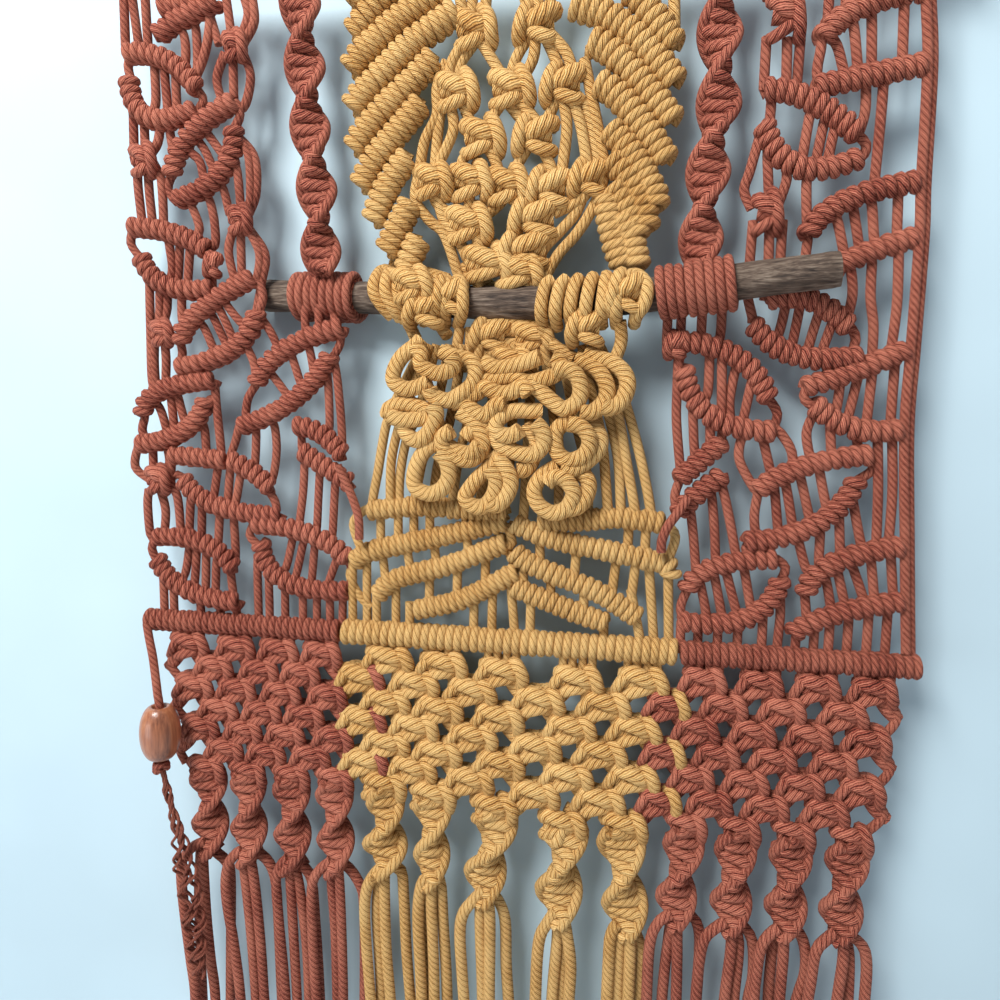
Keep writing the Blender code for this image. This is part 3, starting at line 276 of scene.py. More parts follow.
RIGHT_LINKS: tuple[Route, ...] = (
    ((107, 8), (108, 31)), ((116, 8), (115.5, 31)), ((124, 8), (122, 31)), ((133, 8), (133, 45)),
    ((139, 8), (140, 42)), ((152, 8), (152, 37)), ((162, 8), (162, 33)), ((108.5, 46), (108.5, 68)),
    ((117, 47), (118, 70)), ((122.5, 46), (122, 72)), ((131, 52), (130, 60), (131, 67)),
    ((137, 50), (141, 62)), ((143.5, 43), (146.5, 61)), ((150.5, 40), (152, 62)),
    ((163, 36), (164, 60)), ((150, 66), (150.5, 78), (148.5, 87)), ((157, 64), (157, 80), (156, 112)),
    ((112, 69), (111.5, 84)), ((128.5, 76), (126, 97)), ((134.5, 80), (131.5, 100)),
    ((139, 83), (136.5, 99)), ((148, 87), (152, 92), (150, 98)),
    ((109, 82), (104.5, 101), (102.5, 109), (106, 117)), ((111.5, 92), (113.5, 116)),
    ((120, 100), (120, 106), (117, 116)), ((107, 122), (106.5, 139.5), (106, 152), (109, 164)),
    ((114, 124), (114.5, 140), (115, 156)), ((119.5, 122), (119.5, 140), (120, 154)),
    ((128.5, 107), (130, 126)), ((130.5, 129), (130, 140), (132, 149)), ((142, 122), (146.5, 139)),
    ((148.5, 118), (152.5, 137)), ((155.8, 116), (158, 132)), ((166, 110), (167, 133)),
    ((149, 143), (150.5, 153.5), (149, 163)), ((157.5, 140), (158, 155), (160, 167), (160.5, 181)),
    ((168, 135), (169, 158), (168, 179)), ((123, 157), (120.5, 171)), ((129, 158), (126.5, 176)),
    ((137, 162), (133, 179)), ((143, 166), (139, 180)), ((149, 166), (153, 172), (152, 179)),
    ((148, 190), (147, 204)), ((155.5, 187), (152, 208)), ((161, 185), (160, 210)),
    ((170, 181), (170, 211)), ((134, 194), (133, 199), (138, 203)),
    ((138, 205), (135, 215), (138.5, 230)), ((145, 211), (146.5, 226)), ((156, 214), (158, 224)),
    ((165, 214), (167, 240), (168, 268)), ((171, 213), (173, 240), (173, 266)),
    ((115.5, 242), (114.5, 252), (115.5, 261)), ((122.5, 239), (125.5, 260)),
    ((127.5, 238), (132, 259)), ((133.5, 234), (139, 254)), ((141.5, 231), (145.5, 247)),
    ((162, 224), (164, 230), (158, 235)), ((134, 262), (138.5, 276)), ((143.5, 257), (144, 274)),
    ((151, 248), (153, 270)), ((155.5, 239), (158, 250), (161.5, 264)), ((138.5, 286), (140.5, 301)),
    ((147.5, 281), (151, 297)), ((152, 276), (157, 294)), ((158, 273), (165, 291)),
    ((166, 270), (169, 290)), ((174, 266), (177, 289)),
    *plumb(MAIN_BAR_TOP, (136, 306), (144, 299), (150.5, 297), (158.5, 294), (167, 291), (175, 290)),
    ((72, 156), (72, 176)), ((78, 158), (78, 176)), ((87, 156), (87, 172)), ((95.5, 155), (95.5, 171)),
    ((78, 178), (78, 188)), ((91, 175), (91, 198)), ((96.5, 178), (97.5, 206)),
    ((103.5, 182), (101, 200), (102.5, 213)), ((110.5, 190), (106.5, 214)),
    ((117.5, 199), (122, 206), (120, 214)), ((77.5, 176), (77.5, 198), (78, 212), (81, 236)),
    ((84, 195), (86, 219), (87.5, 232)), ((92.5, 206), (93.5, 225)), ((98.5, 211), (98, 221)),
    ((107.5, 215), (106.5, 227), (115, 242)), ((116, 216), (121.5, 236)),
    ((122.5, 213), (129, 222.5), (130, 233)), ((80.5, 237), (78.5, 245), (80.5, 253)),
    ((85.5, 249), (88, 265), (90, 284)), ((94.5, 240), (97, 258.5), (98.5, 276)),
    ((98.5, 236), (102.5, 250), (107.5, 272)), ((111, 264), (112, 270), (115, 273)),
    ((91.5, 284), (95.5, 301)), ((98, 281), (103, 303)), ((103, 278), (110, 302)),
    ((111, 276), (115.5, 297)), ((86, 289), (83.5, 297), (85, 304)),
    ((125, 272), (129.5, 276), (128, 282)),
    *plumb(MAIN_BAR_TOP, (84, 302), (92, 303), (101, 305), (110, 303), (121, 293)),
    ((127.5, 285), (128.5, 298), (128, 313)),
)
RIGHT_EDGE: Route = ((171, 8), (171, 30), (174, 60), (175, 107), (176, 130), (176, 177), (176, 212),
    (180, 264), (182, 289), (184, 313))
# Rust cord that crosses in front of the tail's edge to the mustard chevrons.
LEFT_CROSSING: Route = ((-85, 235), (-80.5, 244), (-77, 252), (-74.5, 260), (-74, 266), (-74, 271.5))
RIGHT_CROSSING: Route = ((85, 245), (80, 253), (76, 259), (73.5, 266), (73.5, 271.5))

LEFT_RIBS: tuple[Route, ...] = (
    ((-77, 22), (-72, 16), (-66, 12)), ((-76.5, 35), (-70, 28), (-62.5, 20.5), (-57.6, 15.5)),
    ((-77, 51), (-73, 45), (-61, 35), (-49, 26.5), (-39, 21), (-33, 18)),
    ((-76.5, 68), (-72.5, 62), (-61, 52), (-49, 41), (-37, 34), (-27.5, 27.5)),
    ((-76, 86), (-71, 78.5), (-61, 68.5), (-49, 58), (-37, 47)),
    ((-72.5, 103), (-68, 94), (-61, 85.5), (-52, 76), (-43, 66)),
    ((-66.5, 119), (-63.5, 111), (-60, 104), (-55, 96.5), (-49, 90)),
    ((-60, 133), (-56, 125), (-51.5, 117), (-48, 110.5)), ((-50.5, 142), (-47.5, 134), (-44, 127)),
)
RIGHT_RIBS: tuple[Route, ...] = (
    ((48, 20), (54, 27.5), (61, 35.5), (67, 43), (71, 47.5)),
    ((25, 28), (37, 32), (47, 38), (55.5, 45), (64, 54), (71.5, 63)),
    ((33, 44), (40, 46.5), (46.5, 52), (53, 58), (60, 66), (66.5, 73.5), (71, 79)),
    ((36.5, 61.5), (43.5, 65), (51, 72), (57.5, 80), (63, 87), (69, 95.5)),
    ((42.5, 81), (47, 85), (53, 92), (58.5, 100), (63.5, 109), (65, 115)),
    ((43.5, 94), (49.5, 99), (55.5, 107), (60, 117), (61, 124)),
    ((44.5, 106), (49.5, 111.5), (54, 118), (57.5, 128)),
    ((43, 110), (44.5, 120), (47.5, 131), (51.5, 141)),
    ((49, 119), (53, 126), (55.5, 133), (57.5, 141)),
)
WING_TOPS: tuple[Route, ...] = (
    ((-73, 8), (-73, 22)), ((-62, 8), (-60, 20)), ((-46, 8), (-44, 24)), ((-34, 8), (-33, 20)),
    ((34, 8), (30, 28)), ((46, 8), (48, 22)), ((58, 8), (58, 32)), ((68, 8), (70, 46)),
)

BELLY_TIES = (
    Tie(-19, 36, 17, 13),
    Tie(10, 35, 18, 13, True),
    Tie(-27, 62, 17, 13),
    Tie(-2, 62, 18, 13),
    Tie(22.5, 61.5, 17, 13, True),
    Tie(-15, 82.5, 18, 13),
    Tie(10.5, 83, 18, 13, True),
    Tie(-38, 101.5, 15, 12),
    Tie(-20, 102, 17, 13),
    Tie(-3, 104.5, 17, 13),
    Tie(17, 106, 18, 13, True),
    Tie(35, 102.5, 15, 12, True),
    Tie(-21, 121, 19, 13),
    Tie(11, 119, 21, 14, True),
    Tie(7, 133, 23, 13, True),
    Tie(-12, 139, 22, 13),
    Tie(3, 143, 20, 11),
)
BELLY_LINKS: tuple[Route, ...] = (
    ((-26, 8), (-26, 20), (-23, 33)), ((-20, 8), (-20, 30)), ((-13, 8), (-14, 30)),
    ((2, 8), (3, 20), (6, 32)), ((9, 8), (10, 30)), ((17, 8), (16, 20), (14, 32)),
    ((-23, 40), (-29, 49), (-31, 58)), ((-19, 42), (-25, 50), (-27, 58)),
    ((-16, 41), (-10, 50), (-5, 58)), ((6, 40), (0, 50), (-2, 58)), ((9, 41), (8, 50), (3, 59)),
    ((13, 40), (18, 50), (21, 58)), ((15, 39), (23, 48), (26, 57)), ((-33, 66), (-35, 76), (-37, 98)),
    ((-30, 67), (-28, 78), (-33, 90), (-38, 98)), ((-24, 67), (-20, 76), (-17, 79)),
    ((-5, 67), (-10, 74), (-13, 79)), ((-3, 68), (3, 75), (8, 79)), ((2, 67), (8, 74), (12, 79)),
    ((20, 66), (16, 74), (13, 79)), ((25, 67), (30, 78), (34, 98)), ((28, 66), (34, 76), (39, 98)),
    ((22, 67), (24, 80), (22, 101)), ((-19, 87), (-24, 93), (-23, 99)),
    ((-12, 87), (-8, 94), (-6, 101)), ((7, 87), (2, 95), (-1, 101)), ((13, 88), (17, 96), (19, 102)),
    ((-38, 106), (-35, 112), (-26, 118)), ((-20, 107), (-21, 117)), ((-3, 109), (-8, 114), (-14, 118)),
    ((-2, 109), (3, 112), (8, 115)), ((18, 110), (16, 115)), ((35, 107), (30, 112), (19, 117)),
    ((-25, 125), (-23, 132), (-16, 138)), ((-17, 126), (-14, 136)), ((9, 122), (8, 129)),
    ((15, 122), (12, 129)),
)
BELLY_EDGES: tuple[Route, ...] = (
    ((-31.6, 49), (-36, 60), (-36, 72), (-41.6, 83), (-44, 96), (-46, 109), (-39, 119), (-31.6, 126),
        (-23, 150)),
    ((-36, 106), (-33, 117), (-28, 124), (-22, 134), (-17, 144), (-15, 152)),
    ((31, 51), (34, 64), (38, 81), (41, 96), (40, 107), (35, 118), (29, 127), (21, 136), (13, 151)),
    ((33, 107), (29, 117), (22, 125), (14, 134), (7, 151)),
)

FOOT_TIES = (
    Tie(-48, 148.5, 25, 14, False, -5.5),
    Tie(-41, 160.5, 25, 13, True, -4.5),
    Tie(-29, 154, 20, 15, True, -4),
    Tie(35.5, 168.5, 21, 13, True, -8),
    Tie(53.5, 153, 22, 16, True, -11.5),
)
FEET_LEFT: tuple[Route, ...] = (
    ((-57, 142.2), (-62, 141.5), (-66, 146.5), (-66, 152), (-62, 158), (-57, 163)),
    ((-55, 143.7), (-58.5, 142.5), (-60.5, 147.5), (-60, 153), (-56.5, 159), (-53, 164)),
    ((-54, 145.2), (-54.5, 150), (-53.5, 157), (-51, 165)),
    ((-48, 145.2), (-48.5, 152), (-48, 160), (-47, 166)),
    ((-42, 145.2), (-43, 150), (-43.5, 158), (-41, 166)),
    ((-36, 145.7), (-36.5, 152), (-37.5, 160), (-36, 167)),
    ((-30.5, 145.7), (-30.5, 150), (-31.5, 158), (-31, 167)),
    ((-25.5, 145.2), (-23.6, 148), (-22.8, 155), (-23.2, 161), (-25, 167)),
    ((-50, 164), (-48, 168), (-45.5, 173)), ((-36, 165), (-33, 168), (-30, 172)),
)
FEET_RIGHT: tuple[Route, ...] = (
    ((19, 146.7), (16, 149), (14.4, 156), (14.2, 162), (15.6, 167.5)),
    ((25.5, 146.2), (22.8, 149), (21.2, 156), (20.8, 162), (22, 168)),
    ((31.5, 145.7), (29.4, 149), (28, 156), (27.6, 162), (29, 168)),
    ((38, 145.2), (36.6, 148), (35.2, 155), (34.6, 162), (35, 168)),
    ((44, 144.7), (43.2, 148), (42.4, 155), (42, 161), (42.6, 167)),
    ((49.5, 144.2), (49.2, 148), (48.6, 155), (48.6, 161), (49, 167)),
    ((52, 146), (57, 144.5), (62, 149), (61.5, 157), (58, 162.5), (57, 166.5)),
    ((14.5, 167), (16.7, 172.4), (22.4, 177.6), (30, 182)),
    ((50.6, 165), (51.5, 174), (49, 182), (45, 188)),
)
FEET_UPPER: tuple[Route, ...] = (
    ((-58, 139), (-50, 140), (-44, 143)), ((-50, 141), (-40, 143), (-30, 146)),
)
BREAST_BACK: tuple[Route, ...] = (
    ((-24, 140), (-16, 147), (-13, 158), (-13, 176)), ((-17, 145), (-8, 150), (-6, 160), (-6, 176)),
    ((17, 145), (8, 150), (4, 160), (3, 176)), ((11, 146), (12, 158), (11, 176)),
)
TAIL_TOP: tuple[Route, ...] = (
    ((-14, 167), (0, 165.5), (17, 168)), ((-16, 172), (0, 170), (19, 172.5)),
    ((-18, 177), (-2, 175), (18, 177)), ((-20, 182), (-4, 180), (16, 182)), ((-24, 168), (-26, 180)),
    ((-19, 168), (-19, 180)), ((-15, 168), (-12, 180)), ((-30, 186), (-10, 187), (14, 187)),
)
TAIL_TIES = (
    Tie(-9, 172, 26, 13, True, 0.5),
    Tie(10, 173, 26, 13, False, 0.5),
    Tie(0, 184, 28, 12),
)
CURLS = (
    Curl(6, 3, ((-14, 223), (-8, 230), (-2, 226), (-6, 216), (-16, 214), (-22, 220))),
    Curl(7, 5, ((-42, 172), (-45, 175), (-52.6, 181), (-57, 188.6), (-57, 194.4), (-51, 198),
        (-43.6, 197), (-37.5, 194))),
    Curl(9, 6, ((-47, 176), (-43.6, 180.4), (-43.6, 186), (-36, 190), (-28.4, 188.5), (-25.5, 185),
        (-28, 181))),
    Curl(6, 7, ((-34, 178), (-24, 181), (-18, 182.5), (-15, 188), (-17, 195), (-23, 200),
        (-30, 203.5), (-38, 201), (-40, 197))),
    Curl(7, 5, ((-52, 203), (-61, 208), (-56.5, 205), (-48.7, 204), (-39, 207), (-40, 211),
        (-51, 212.5), (-60, 210.5))),
    Curl(8, 6, ((-56, 209), (-52.5, 215), (-50, 219.6), (-45, 222.6), (-39.6, 219.6),
        (-35.8, 213.6), (-34.3, 207.6), (-37, 203))),
    Curl(7, 7, ((-38, 207), (-35, 214), (-33, 221.5), (-25, 227), (-17, 228), (-12, 223))),
    Curl(9, 5, ((-24, 206), (-14.5, 213), (-11, 222), (-14.4, 229.5), (-20, 231.6), (-27.5, 229.4),
        (-32, 226), (-33, 220), (-28, 216))),
    Curl(8, 6, ((-27, 219), (-38.5, 223.5), (-44, 230), (-47, 239), (-46, 246), (-38.4, 249),
        (-31.6, 246), (-28, 239), (-29.4, 231), (-34, 226))),
    Curl(8, 5, ((0, 226), (-7.4, 232), (-14, 238), (-19.5, 245), (-21.7, 250), (-17, 254),
        (-10.6, 253.5), (-6, 247), (-5, 239), (-9, 233))),
    Curl(11, 3, ((-5, 228), (-0.8, 233), (2, 239.5), (0.4, 247), (-5, 253), (-10, 252))),
    Curl(8, 5, ((-22, 201), (-16.4, 198.5), (-12.8, 195.6), (-5.4, 198.4), (1.8, 198), (7.6, 195),
        (11, 199))),
    Curl(8, 5, ((-28, 203), (-21.5, 204), (-16, 208), (-10.5, 209), (-5, 204), (0, 203))),
    Curl(6, 6, ((-18, 193), (-9, 193), (0.5, 191), (9, 193.6), (17, 192), (23.7, 189), (25.8, 184),
        (21, 181))),
    Curl(9, 6, ((8, 192), (14.6, 198), (20.5, 203), (26.3, 206.5), (32.8, 203), (34.8, 196.6),
        (32.4, 189.4), (26.5, 186), (20, 187))),
    Curl(7, 6, ((30, 181), (38, 184), (43.6, 189), (46.7, 196), (45, 203), (39, 208), (33, 208))),
    Curl(6, 7, ((34, 178), (41, 181), (48, 183), (54, 188), (56, 194.5), (53.5, 202), (48, 206),
        (43, 205))),
    Curl(8, 6, ((31, 207), (22.5, 214.7), (21.6, 222), (23.8, 228), (30, 230.7), (37.4, 227),
        (39.3, 219.5), (35, 213), (28, 211.5))),
    Curl(6, 5, ((36, 208), (43.5, 216), (43.6, 223.6), (37.4, 230.5), (30, 235), (24, 235))),
    Curl(8, 6, ((24, 231), (16, 236.5), (12, 244), (14.3, 251.7), (22, 256), (29.5, 253),
        (32.6, 245), (28, 238), (21.8, 237), (18, 241))),
    Curl(6, 5, ((27, 231), (33, 233.7), (38.6, 238), (38.8, 245), (34.6, 252), (28, 254))),
    Curl(8, 6, ((17, 206), (11.5, 206), (1, 206.5), (-6.6, 212), (-5.4, 218), (1, 219), (6, 216))),
    Curl(9, 5, ((-8, 217), (-5, 223), (3.4, 227), (13, 227.8), (18, 222), (17, 215.4), (13, 211))),
    Curl(6, 4, ((8, 212), (14, 221), (10, 234), (4, 236))),
    Curl(6, 5, ((-14, 184), (-6, 187), (6, 185), (16, 181))),
)
TAIL_STRANDS: tuple[Route, ...] = (
    ((-52, 196), (-59, 211), (-62, 224), (-64.3, 237.6), (-67, 252)),
    ((-48, 200), (-54, 216.5), (-57.5, 232.5), (-58, 252)),
    ((-44, 208), (-49.6, 220.5), (-53, 238), (-53.5, 252)), ((-36, 210), (-42, 232), (-46, 253)),
    ((-28, 210), (-34, 232), (-37, 254)), ((-18, 205), (-24, 230), (-27, 254)),
    ((-8, 200), (-10, 230), (-14, 255)), ((2, 200), (1, 230), (-2, 256)),
    ((10, 200), (9, 230), (8, 257)), ((20, 200), (24, 230), (25, 257)),
    ((30, 205), (37, 232), (39, 255)), ((42, 210), (45, 225), (48, 253)),
    ((47, 208), (52, 229), (54, 252)), ((50, 203), (56, 230), (60.5, 252)),
    ((52, 196), (60.7, 222), (66, 243), (68, 254)),
)
CHEVRONS: tuple[Route, ...] = (
    ((-69, 257), (-50, 254.5), (-33, 254), (0, 256)),
    ((-77, 283), (-67, 277), (-33, 268.5), (-0.5, 259.5)),
    ((-64.5, 299.5), (-57.6, 292), (-44, 287), (-27, 282), (-0.3, 270)),
    ((-45, 306), (-21, 299), (5.6, 284)), ((15, 260), (38, 257.5), (54, 256), (73.5, 257.5)),
    ((3, 260), (11.7, 264), (28, 268.5), (49, 272), (75, 277), (78.5, 283)),
    ((3, 274), (12, 280), (28, 286), (44.5, 292), (64, 303.5)),
    ((3.5, 291), (12, 294.5), (36, 303), (49.4, 306.7)),
)
CHEVRON_LINKS: tuple[Route, ...] = (
    *plumb(MAIN_BAR_TOP, (-77.5, 282), (-70, 278), (-65, 296), (-55, 289), (-48, 302), (-15.5, 296),
        (-6.4, 290)),
    ((2, 286), (4.8, 313)), ((12.5, 294), (12.5, 313)), ((48, 304), (48, 313)), ((60, 290), (65, 313)),
    ((68, 278), (71.5, 313)), ((77, 280), (78.6, 313)), ((-63, 256), (-63, 278)),
    ((-54, 256), (-54, 276)), ((-46, 256), (-46, 274)), ((-38, 256), (-38, 272)),
    ((-20, 256), (-20, 268)), ((20, 260), (20, 268)), ((58, 258), (58, 276)), ((66, 258), (66, 278)),
    ((-62, 278), (-60, 296)), ((-50, 273), (-47, 290)), ((-36, 270), (-34, 286)),
    ((-20, 265), (-18, 280)), ((16, 265), (17, 284)), ((34, 270), (33, 290)), ((53, 273), (51, 296)),
    ((62, 275), (60, 300)), ((-38, 286), (-38, 305)), ((-24, 282), (-24, 300)),
    ((-10, 275), (-10, 292)), ((8, 278), (9, 293)), ((22, 284), (22, 298)), ((38, 290), (38, 304)),
    ((-70, 256), (-77, 263), (-74, 274)), ((73, 257), (79.5, 263), (77, 274)),
    ((-76, 282), (-79, 290), (-74, 300), (-68, 306)), ((-1, 259), (3, 270), (-1, 272)),
    ((-1, 270), (4, 280), (4, 285)),
)


class StickPoint(NamedTuple):
    """A point of the stick's middle line in true place: x, drop and y."""

    x: float
    drop: float
    y: float


STICK_LINE = (
    StickPoint(-129, 151.0, 13.6),
    StickPoint(-70, 153.0, 7.7),
    StickPoint(0, 156.5, 1.5),
    StickPoint(60, 154.5, -3.8),
    StickPoint(104, 149.5, -9.6),
    StickPoint(141, 145.5, -14.0),
)
LEFT_COIL_SPAN = (-112.0, -74.5)
RIGHT_COIL_SPAN = (64.5, 101.5)


class SpiralLine(NamedTuple):
    """A long half-knot spiral: its route, the drop of its first bulge and the bulge spacing."""

    route: Route
    first_bulge: float
    bulge_pitch: float


LEFT_SPIRAL = SpiralLine(((-103, 9), (-101.5, 22), (-99.5, 50), (-97, 80), (-94, 108),
    (-92, 143)), 22, 28.0)
RIGHT_SPIRAL = SpiralLine(((89.5, 9), (89, 42.5), (90, 70.5), (87, 97.5), (85, 129),
    (84, 142)), 42.5, 28.8)
SPIRAL_WIDTH = 19.5
SPIRAL_DEPTH = 9.5
SPIRAL_PITCH = 5.6
# How thick a spiral's passes are, in rope radii, and how uneven their widths.
PASS_FATNESS = (1.12, 1.38)
PASS_WOBBLE = 0.09
PASS_INSET = 1.9
EDGE_FATNESS = 1.12
EDGE_FLATNESS = 0.72


class SagPoint(NamedTuple):
    """Where the net's first row hangs at x and how far apart its rows are there."""

    x: float
    top: float
    pitch: float


NET_SAG = (
    SagPoint(-180, 332.0, 11.3),
    SagPoint(-65, 332.5, 11.1),
    SagPoint(-8, 335.0, 11.8),
    SagPoint(30, 337.5, 12.3),
    SagPoint(62, 336.0, 12.2),
    SagPoint(92, 333.0, 12.1),
    SagPoint(180, 332.5, 12.1),
)


class NetRow(NamedTuple):
    """The x of each knot in one row: rust at the left, mustard, rust at the right."""

    left: tuple[float, ...]
    centre: tuple[float, ...]
    right: tuple[float, ...]


NET_ROWS = (
    NetRow((-167.4, -141.1, -117.7, -94.3), (-59, -31, -1, 36, 67), (95.5, 121.5, 146.5, 171.5)),
    NetRow((-153.8, -128.4, -106), (-73.5, -45.5, -16.5, 17.5, 49.5), (79.5, 105.5, 132, 159.5)),
    NetRow((-165.5, -141.1, -116.8, -91.4), (-60.5, -33, -2.5, 33.5, 64.5), (93.5, 119.5, 144.5, 170.5)),
    NetRow((-151.8, -127.5, -104.1), (-72.5, -45.5, -15.5, 16.5, 48.5), (78.5, 103.5, 129.5, 156.5)),
    NetRow((-162.6, -138.2, -114.8, -88.5), (-60.5, -33.5, -1.5, 32.5, 64.5),
        (92.5, 117.5, 142.5, 169.5)),
    NetRow((-148.9, -125.5, -101.2), (-71.5, -46.5, -16.5, 16.5, 48.5), (77.5, 101.5, 127.5, 154.5)),
)


class SinnetRow(NamedTuple):
    """A spiral sinnet: x at its top, the x and drop of its two bulges, its end drop and its widths."""

    top_x: float
    bulge_x: float
    bulge_drop: float
    low_x: float
    low_drop: float
    end_drop: float
    width: float
    low_width: float


SINNETS = (
    SinnetRow(-160, -158, 408, -158, 432.5, 447, 20, 20),
    SinnetRow(-136.5, -135.5, 408, -135.9, 432.5, 449, 19, 20),
    SinnetRow(-112.5, -111.5, 409, -111.4, 433.5, 451, 20, 20),
    SinnetRow(-88.5, -88, 409, -87.5, 433.5, 450, 20, 20),
    SinnetRow(-62.5, -60.5, 410, -60.8, 432.5, 446.5, 20, 24),
    SinnetRow(-36.5, -35.5, 410, -35.8, 435.5, 450.5, 20, 19),
    SinnetRow(-4.5, -2.5, 414, -7.8, 441.5, 455.5, 22, 22),
    SinnetRow(30, 32, 415, 29.8, 446.5, 461.5, 24, 24),
    SinnetRow(60, 60, 418, 62.8, 449.5, 464.5, 24, 23),
    SinnetRow(90, 90, 415, 87.6, 442.5, 456.5, 20, 20),
    SinnetRow(115, 114.5, 415, 113.6, 441.5, 456.5, 20, 20),
    SinnetRow(140, 140, 415, 139.1, 440.5, 455.5, 20, 20),
    SinnetRow(166, 165.5, 414, 164.3, 439.5, 454.5, 20, 20),
)
SINNET_PITCH = 5.8


class Strand(NamedTuple):
    """A fringe strand: its y and its route."""

    y: float
    route: Route


FRINGE = (
    # Sinnet 1.
    (
        Strand(-4, ((-161, 440), (-168, 444), (-174, 451), (-176, 460), (-175, 480), (-172, 510),
            (-170, 530), (-170, 566))),
        Strand(-1, ((-163, 442), (-162, 480), (-160, 510), (-158, 530), (-158, 566))),
        Strand(3, ((-159, 442), (-155, 446), (-149, 451), (-147, 460), (-148, 500), (-150, 566))),
        Strand(3.5, ((-164, 443), (-166, 480), (-165, 566))),
    ),
    # Sinnet 2.
    (
        Strand(-4, ((-140, 443), (-144, 446), (-149, 454), (-150, 470), (-146, 500), (-143, 530),
            (-142, 566))),
        Strand(-1, ((-140, 444), (-139, 455), (-136, 490), (-134, 530), (-134, 566))),
        Strand(-2, ((-137, 444), (-134, 456), (-131, 490), (-129, 530), (-128, 566))),
        Strand(3, ((-136, 443), (-130, 444), (-124, 450), (-121, 462), (-120, 490), (-118, 566))),
    ),
    # Sinnet 3.
    (
        Strand(-4, ((-114, 445), (-118, 449), (-121, 458), (-120, 480), (-117, 520), (-115, 566))),
        Strand(-1, ((-114, 446), (-113, 458), (-110, 530), (-109, 566))),
        Strand(1, ((-112, 446), (-108, 460), (-104, 500), (-103, 566))),
        Strand(3, ((-110, 445), (-106, 448), (-101, 456), (-99, 480), (-97, 520), (-96, 566))),
    ),
    # Sinnet 4.
    (
        Strand(-4, ((-90, 444), (-96, 449), (-101, 460), (-101, 490), (-99, 530), (-98, 566))),
        Strand(-1, ((-90, 445), (-90, 456), (-88, 490), (-87, 566))),
        Strand(-2, ((-87, 445), (-85.5, 456), (-84, 510), (-84, 566))),
        Strand(3, ((-86, 444), (-81, 446), (-75, 454), (-72.5, 464), (-72, 500), (-73, 566))),
    ),
    # Sinnet 5.
    (
        Strand(-4, ((-61, 443), (-66, 448), (-71, 459), (-71.5, 480), (-68, 530), (-67, 566))),
        Strand(-1, ((-61, 444), (-61, 458), (-60, 490), (-57, 530), (-57, 566))),
        Strand(3, ((-58, 443), (-52, 445), (-50.5, 460), (-49, 490), (-46, 530), (-46, 566))),
        Strand(1, ((-63, 444), (-65, 470), (-63, 510), (-62, 566))),
    ),
    # Sinnet 6.
    (
        Strand(-4, ((-37, 447), (-41, 451), (-43, 470), (-41, 510), (-40, 566))),
        Strand(-2, ((-36, 448), (-36, 460), (-35, 480), (-34, 510), (-34, 566))),
        Strand(2, ((-34, 446), (-31, 449), (-29.5, 470), (-27, 510), (-26, 566))),
        Strand(3.5, ((-35, 447), (-38, 470), (-37, 566))),
    ),
    # Sinnet 7.
    (
        Strand(-4, ((-8, 450), (-13, 456), (-19, 465), (-20.5, 477), (-19, 500), (-17, 530), (-17, 566))),
        Strand(-1, ((-9, 453), (-10, 466), (-8, 515), (-8, 566))),
        Strand(-3, ((-7, 453), (-5, 466), (-4.5, 515), (-3, 566))),
        Strand(3, ((-6, 451), (-1, 455), (3, 466), (4, 490), (6, 520), (6, 566))),
    ),
    # Sinnet 8.
    (
        Strand(-4, ((29, 457), (25, 464), (20.5, 476), (19.5, 510), (20, 566))),
        Strand(0, ((30, 458), (30, 472), (28, 510), (28, 566))),
        Strand(-3, ((32, 458), (34, 466), (37, 486), (36.5, 510), (36, 566))),
        Strand(3, ((31, 457), (33, 475), (32.5, 566))),
    ),
    # Sinnet 9.
    (
        Strand(-4, ((60, 460), (57, 466), (56, 480), (55.5, 566))),
        Strand(-1, ((61, 461), (61, 470), (61, 566))),
        Strand(-3, ((63, 461), (66, 469), (66.5, 490), (66, 566))),
        Strand(2, ((64, 460), (70, 467), (72, 485), (71, 566))),
    ),
    # Sinnet 10.
    (
        Strand(-4, ((86, 452), (80, 457), (76, 469), (75.5, 500), (76, 566))),
        Strand(0, ((86, 453), (85, 464), (83, 500), (83, 566))),
        Strand(-3, ((88, 453), (89, 464), (90, 500), (90, 566))),
        Strand(3, ((89, 451), (94, 451), (99, 458), (100, 480), (98, 566))),
    ),
    # Sinnet 11.
    (
        Strand(-4, ((112, 453), (107, 457), (102, 464), (100, 480), (99.5, 510), (101, 566))),
        Strand(-2, ((113, 453), (115, 465), (113, 500), (112, 566))),
        Strand(1, ((115, 453), (118.5, 465), (117.5, 500), (117, 566))),
        Strand(3, ((115, 452), (121, 455), (125, 463), (126, 480), (124, 500), (124, 566))),
    ),
    # Sinnet 12.
    (
        Strand(-4, ((137, 453), (132, 458), (128.5, 468), (127, 500), (128, 566))),
        Strand(-2, ((138, 454), (139.5, 463), (139, 500), (139, 566))),
        Strand(1, ((140, 452), (145, 453), (149, 461), (150, 475), (146, 500), (146, 566))),
        Strand(3, ((137, 453), (134, 470), (134, 566))),
    ),
    # Sinnet 13.
    (
        Strand(-4, ((163, 452), (159, 456), (154.5, 463), (153, 480), (152, 500), (153, 566))),
        Strand(-2, ((164, 453), (167, 463), (165, 500), (164, 566))),
        Strand(1, ((166, 452), (174, 456), (177.5, 465), (178, 490), (177, 566))),
        Strand(3, ((165, 453), (170, 470), (171, 566))),
    ),
)


class CordPoint(NamedTuple):
    """A point of the bead's cord or tail in true place: x, drop, y and the radius there."""

    x: float
    drop: float
    y: float
    radius: float


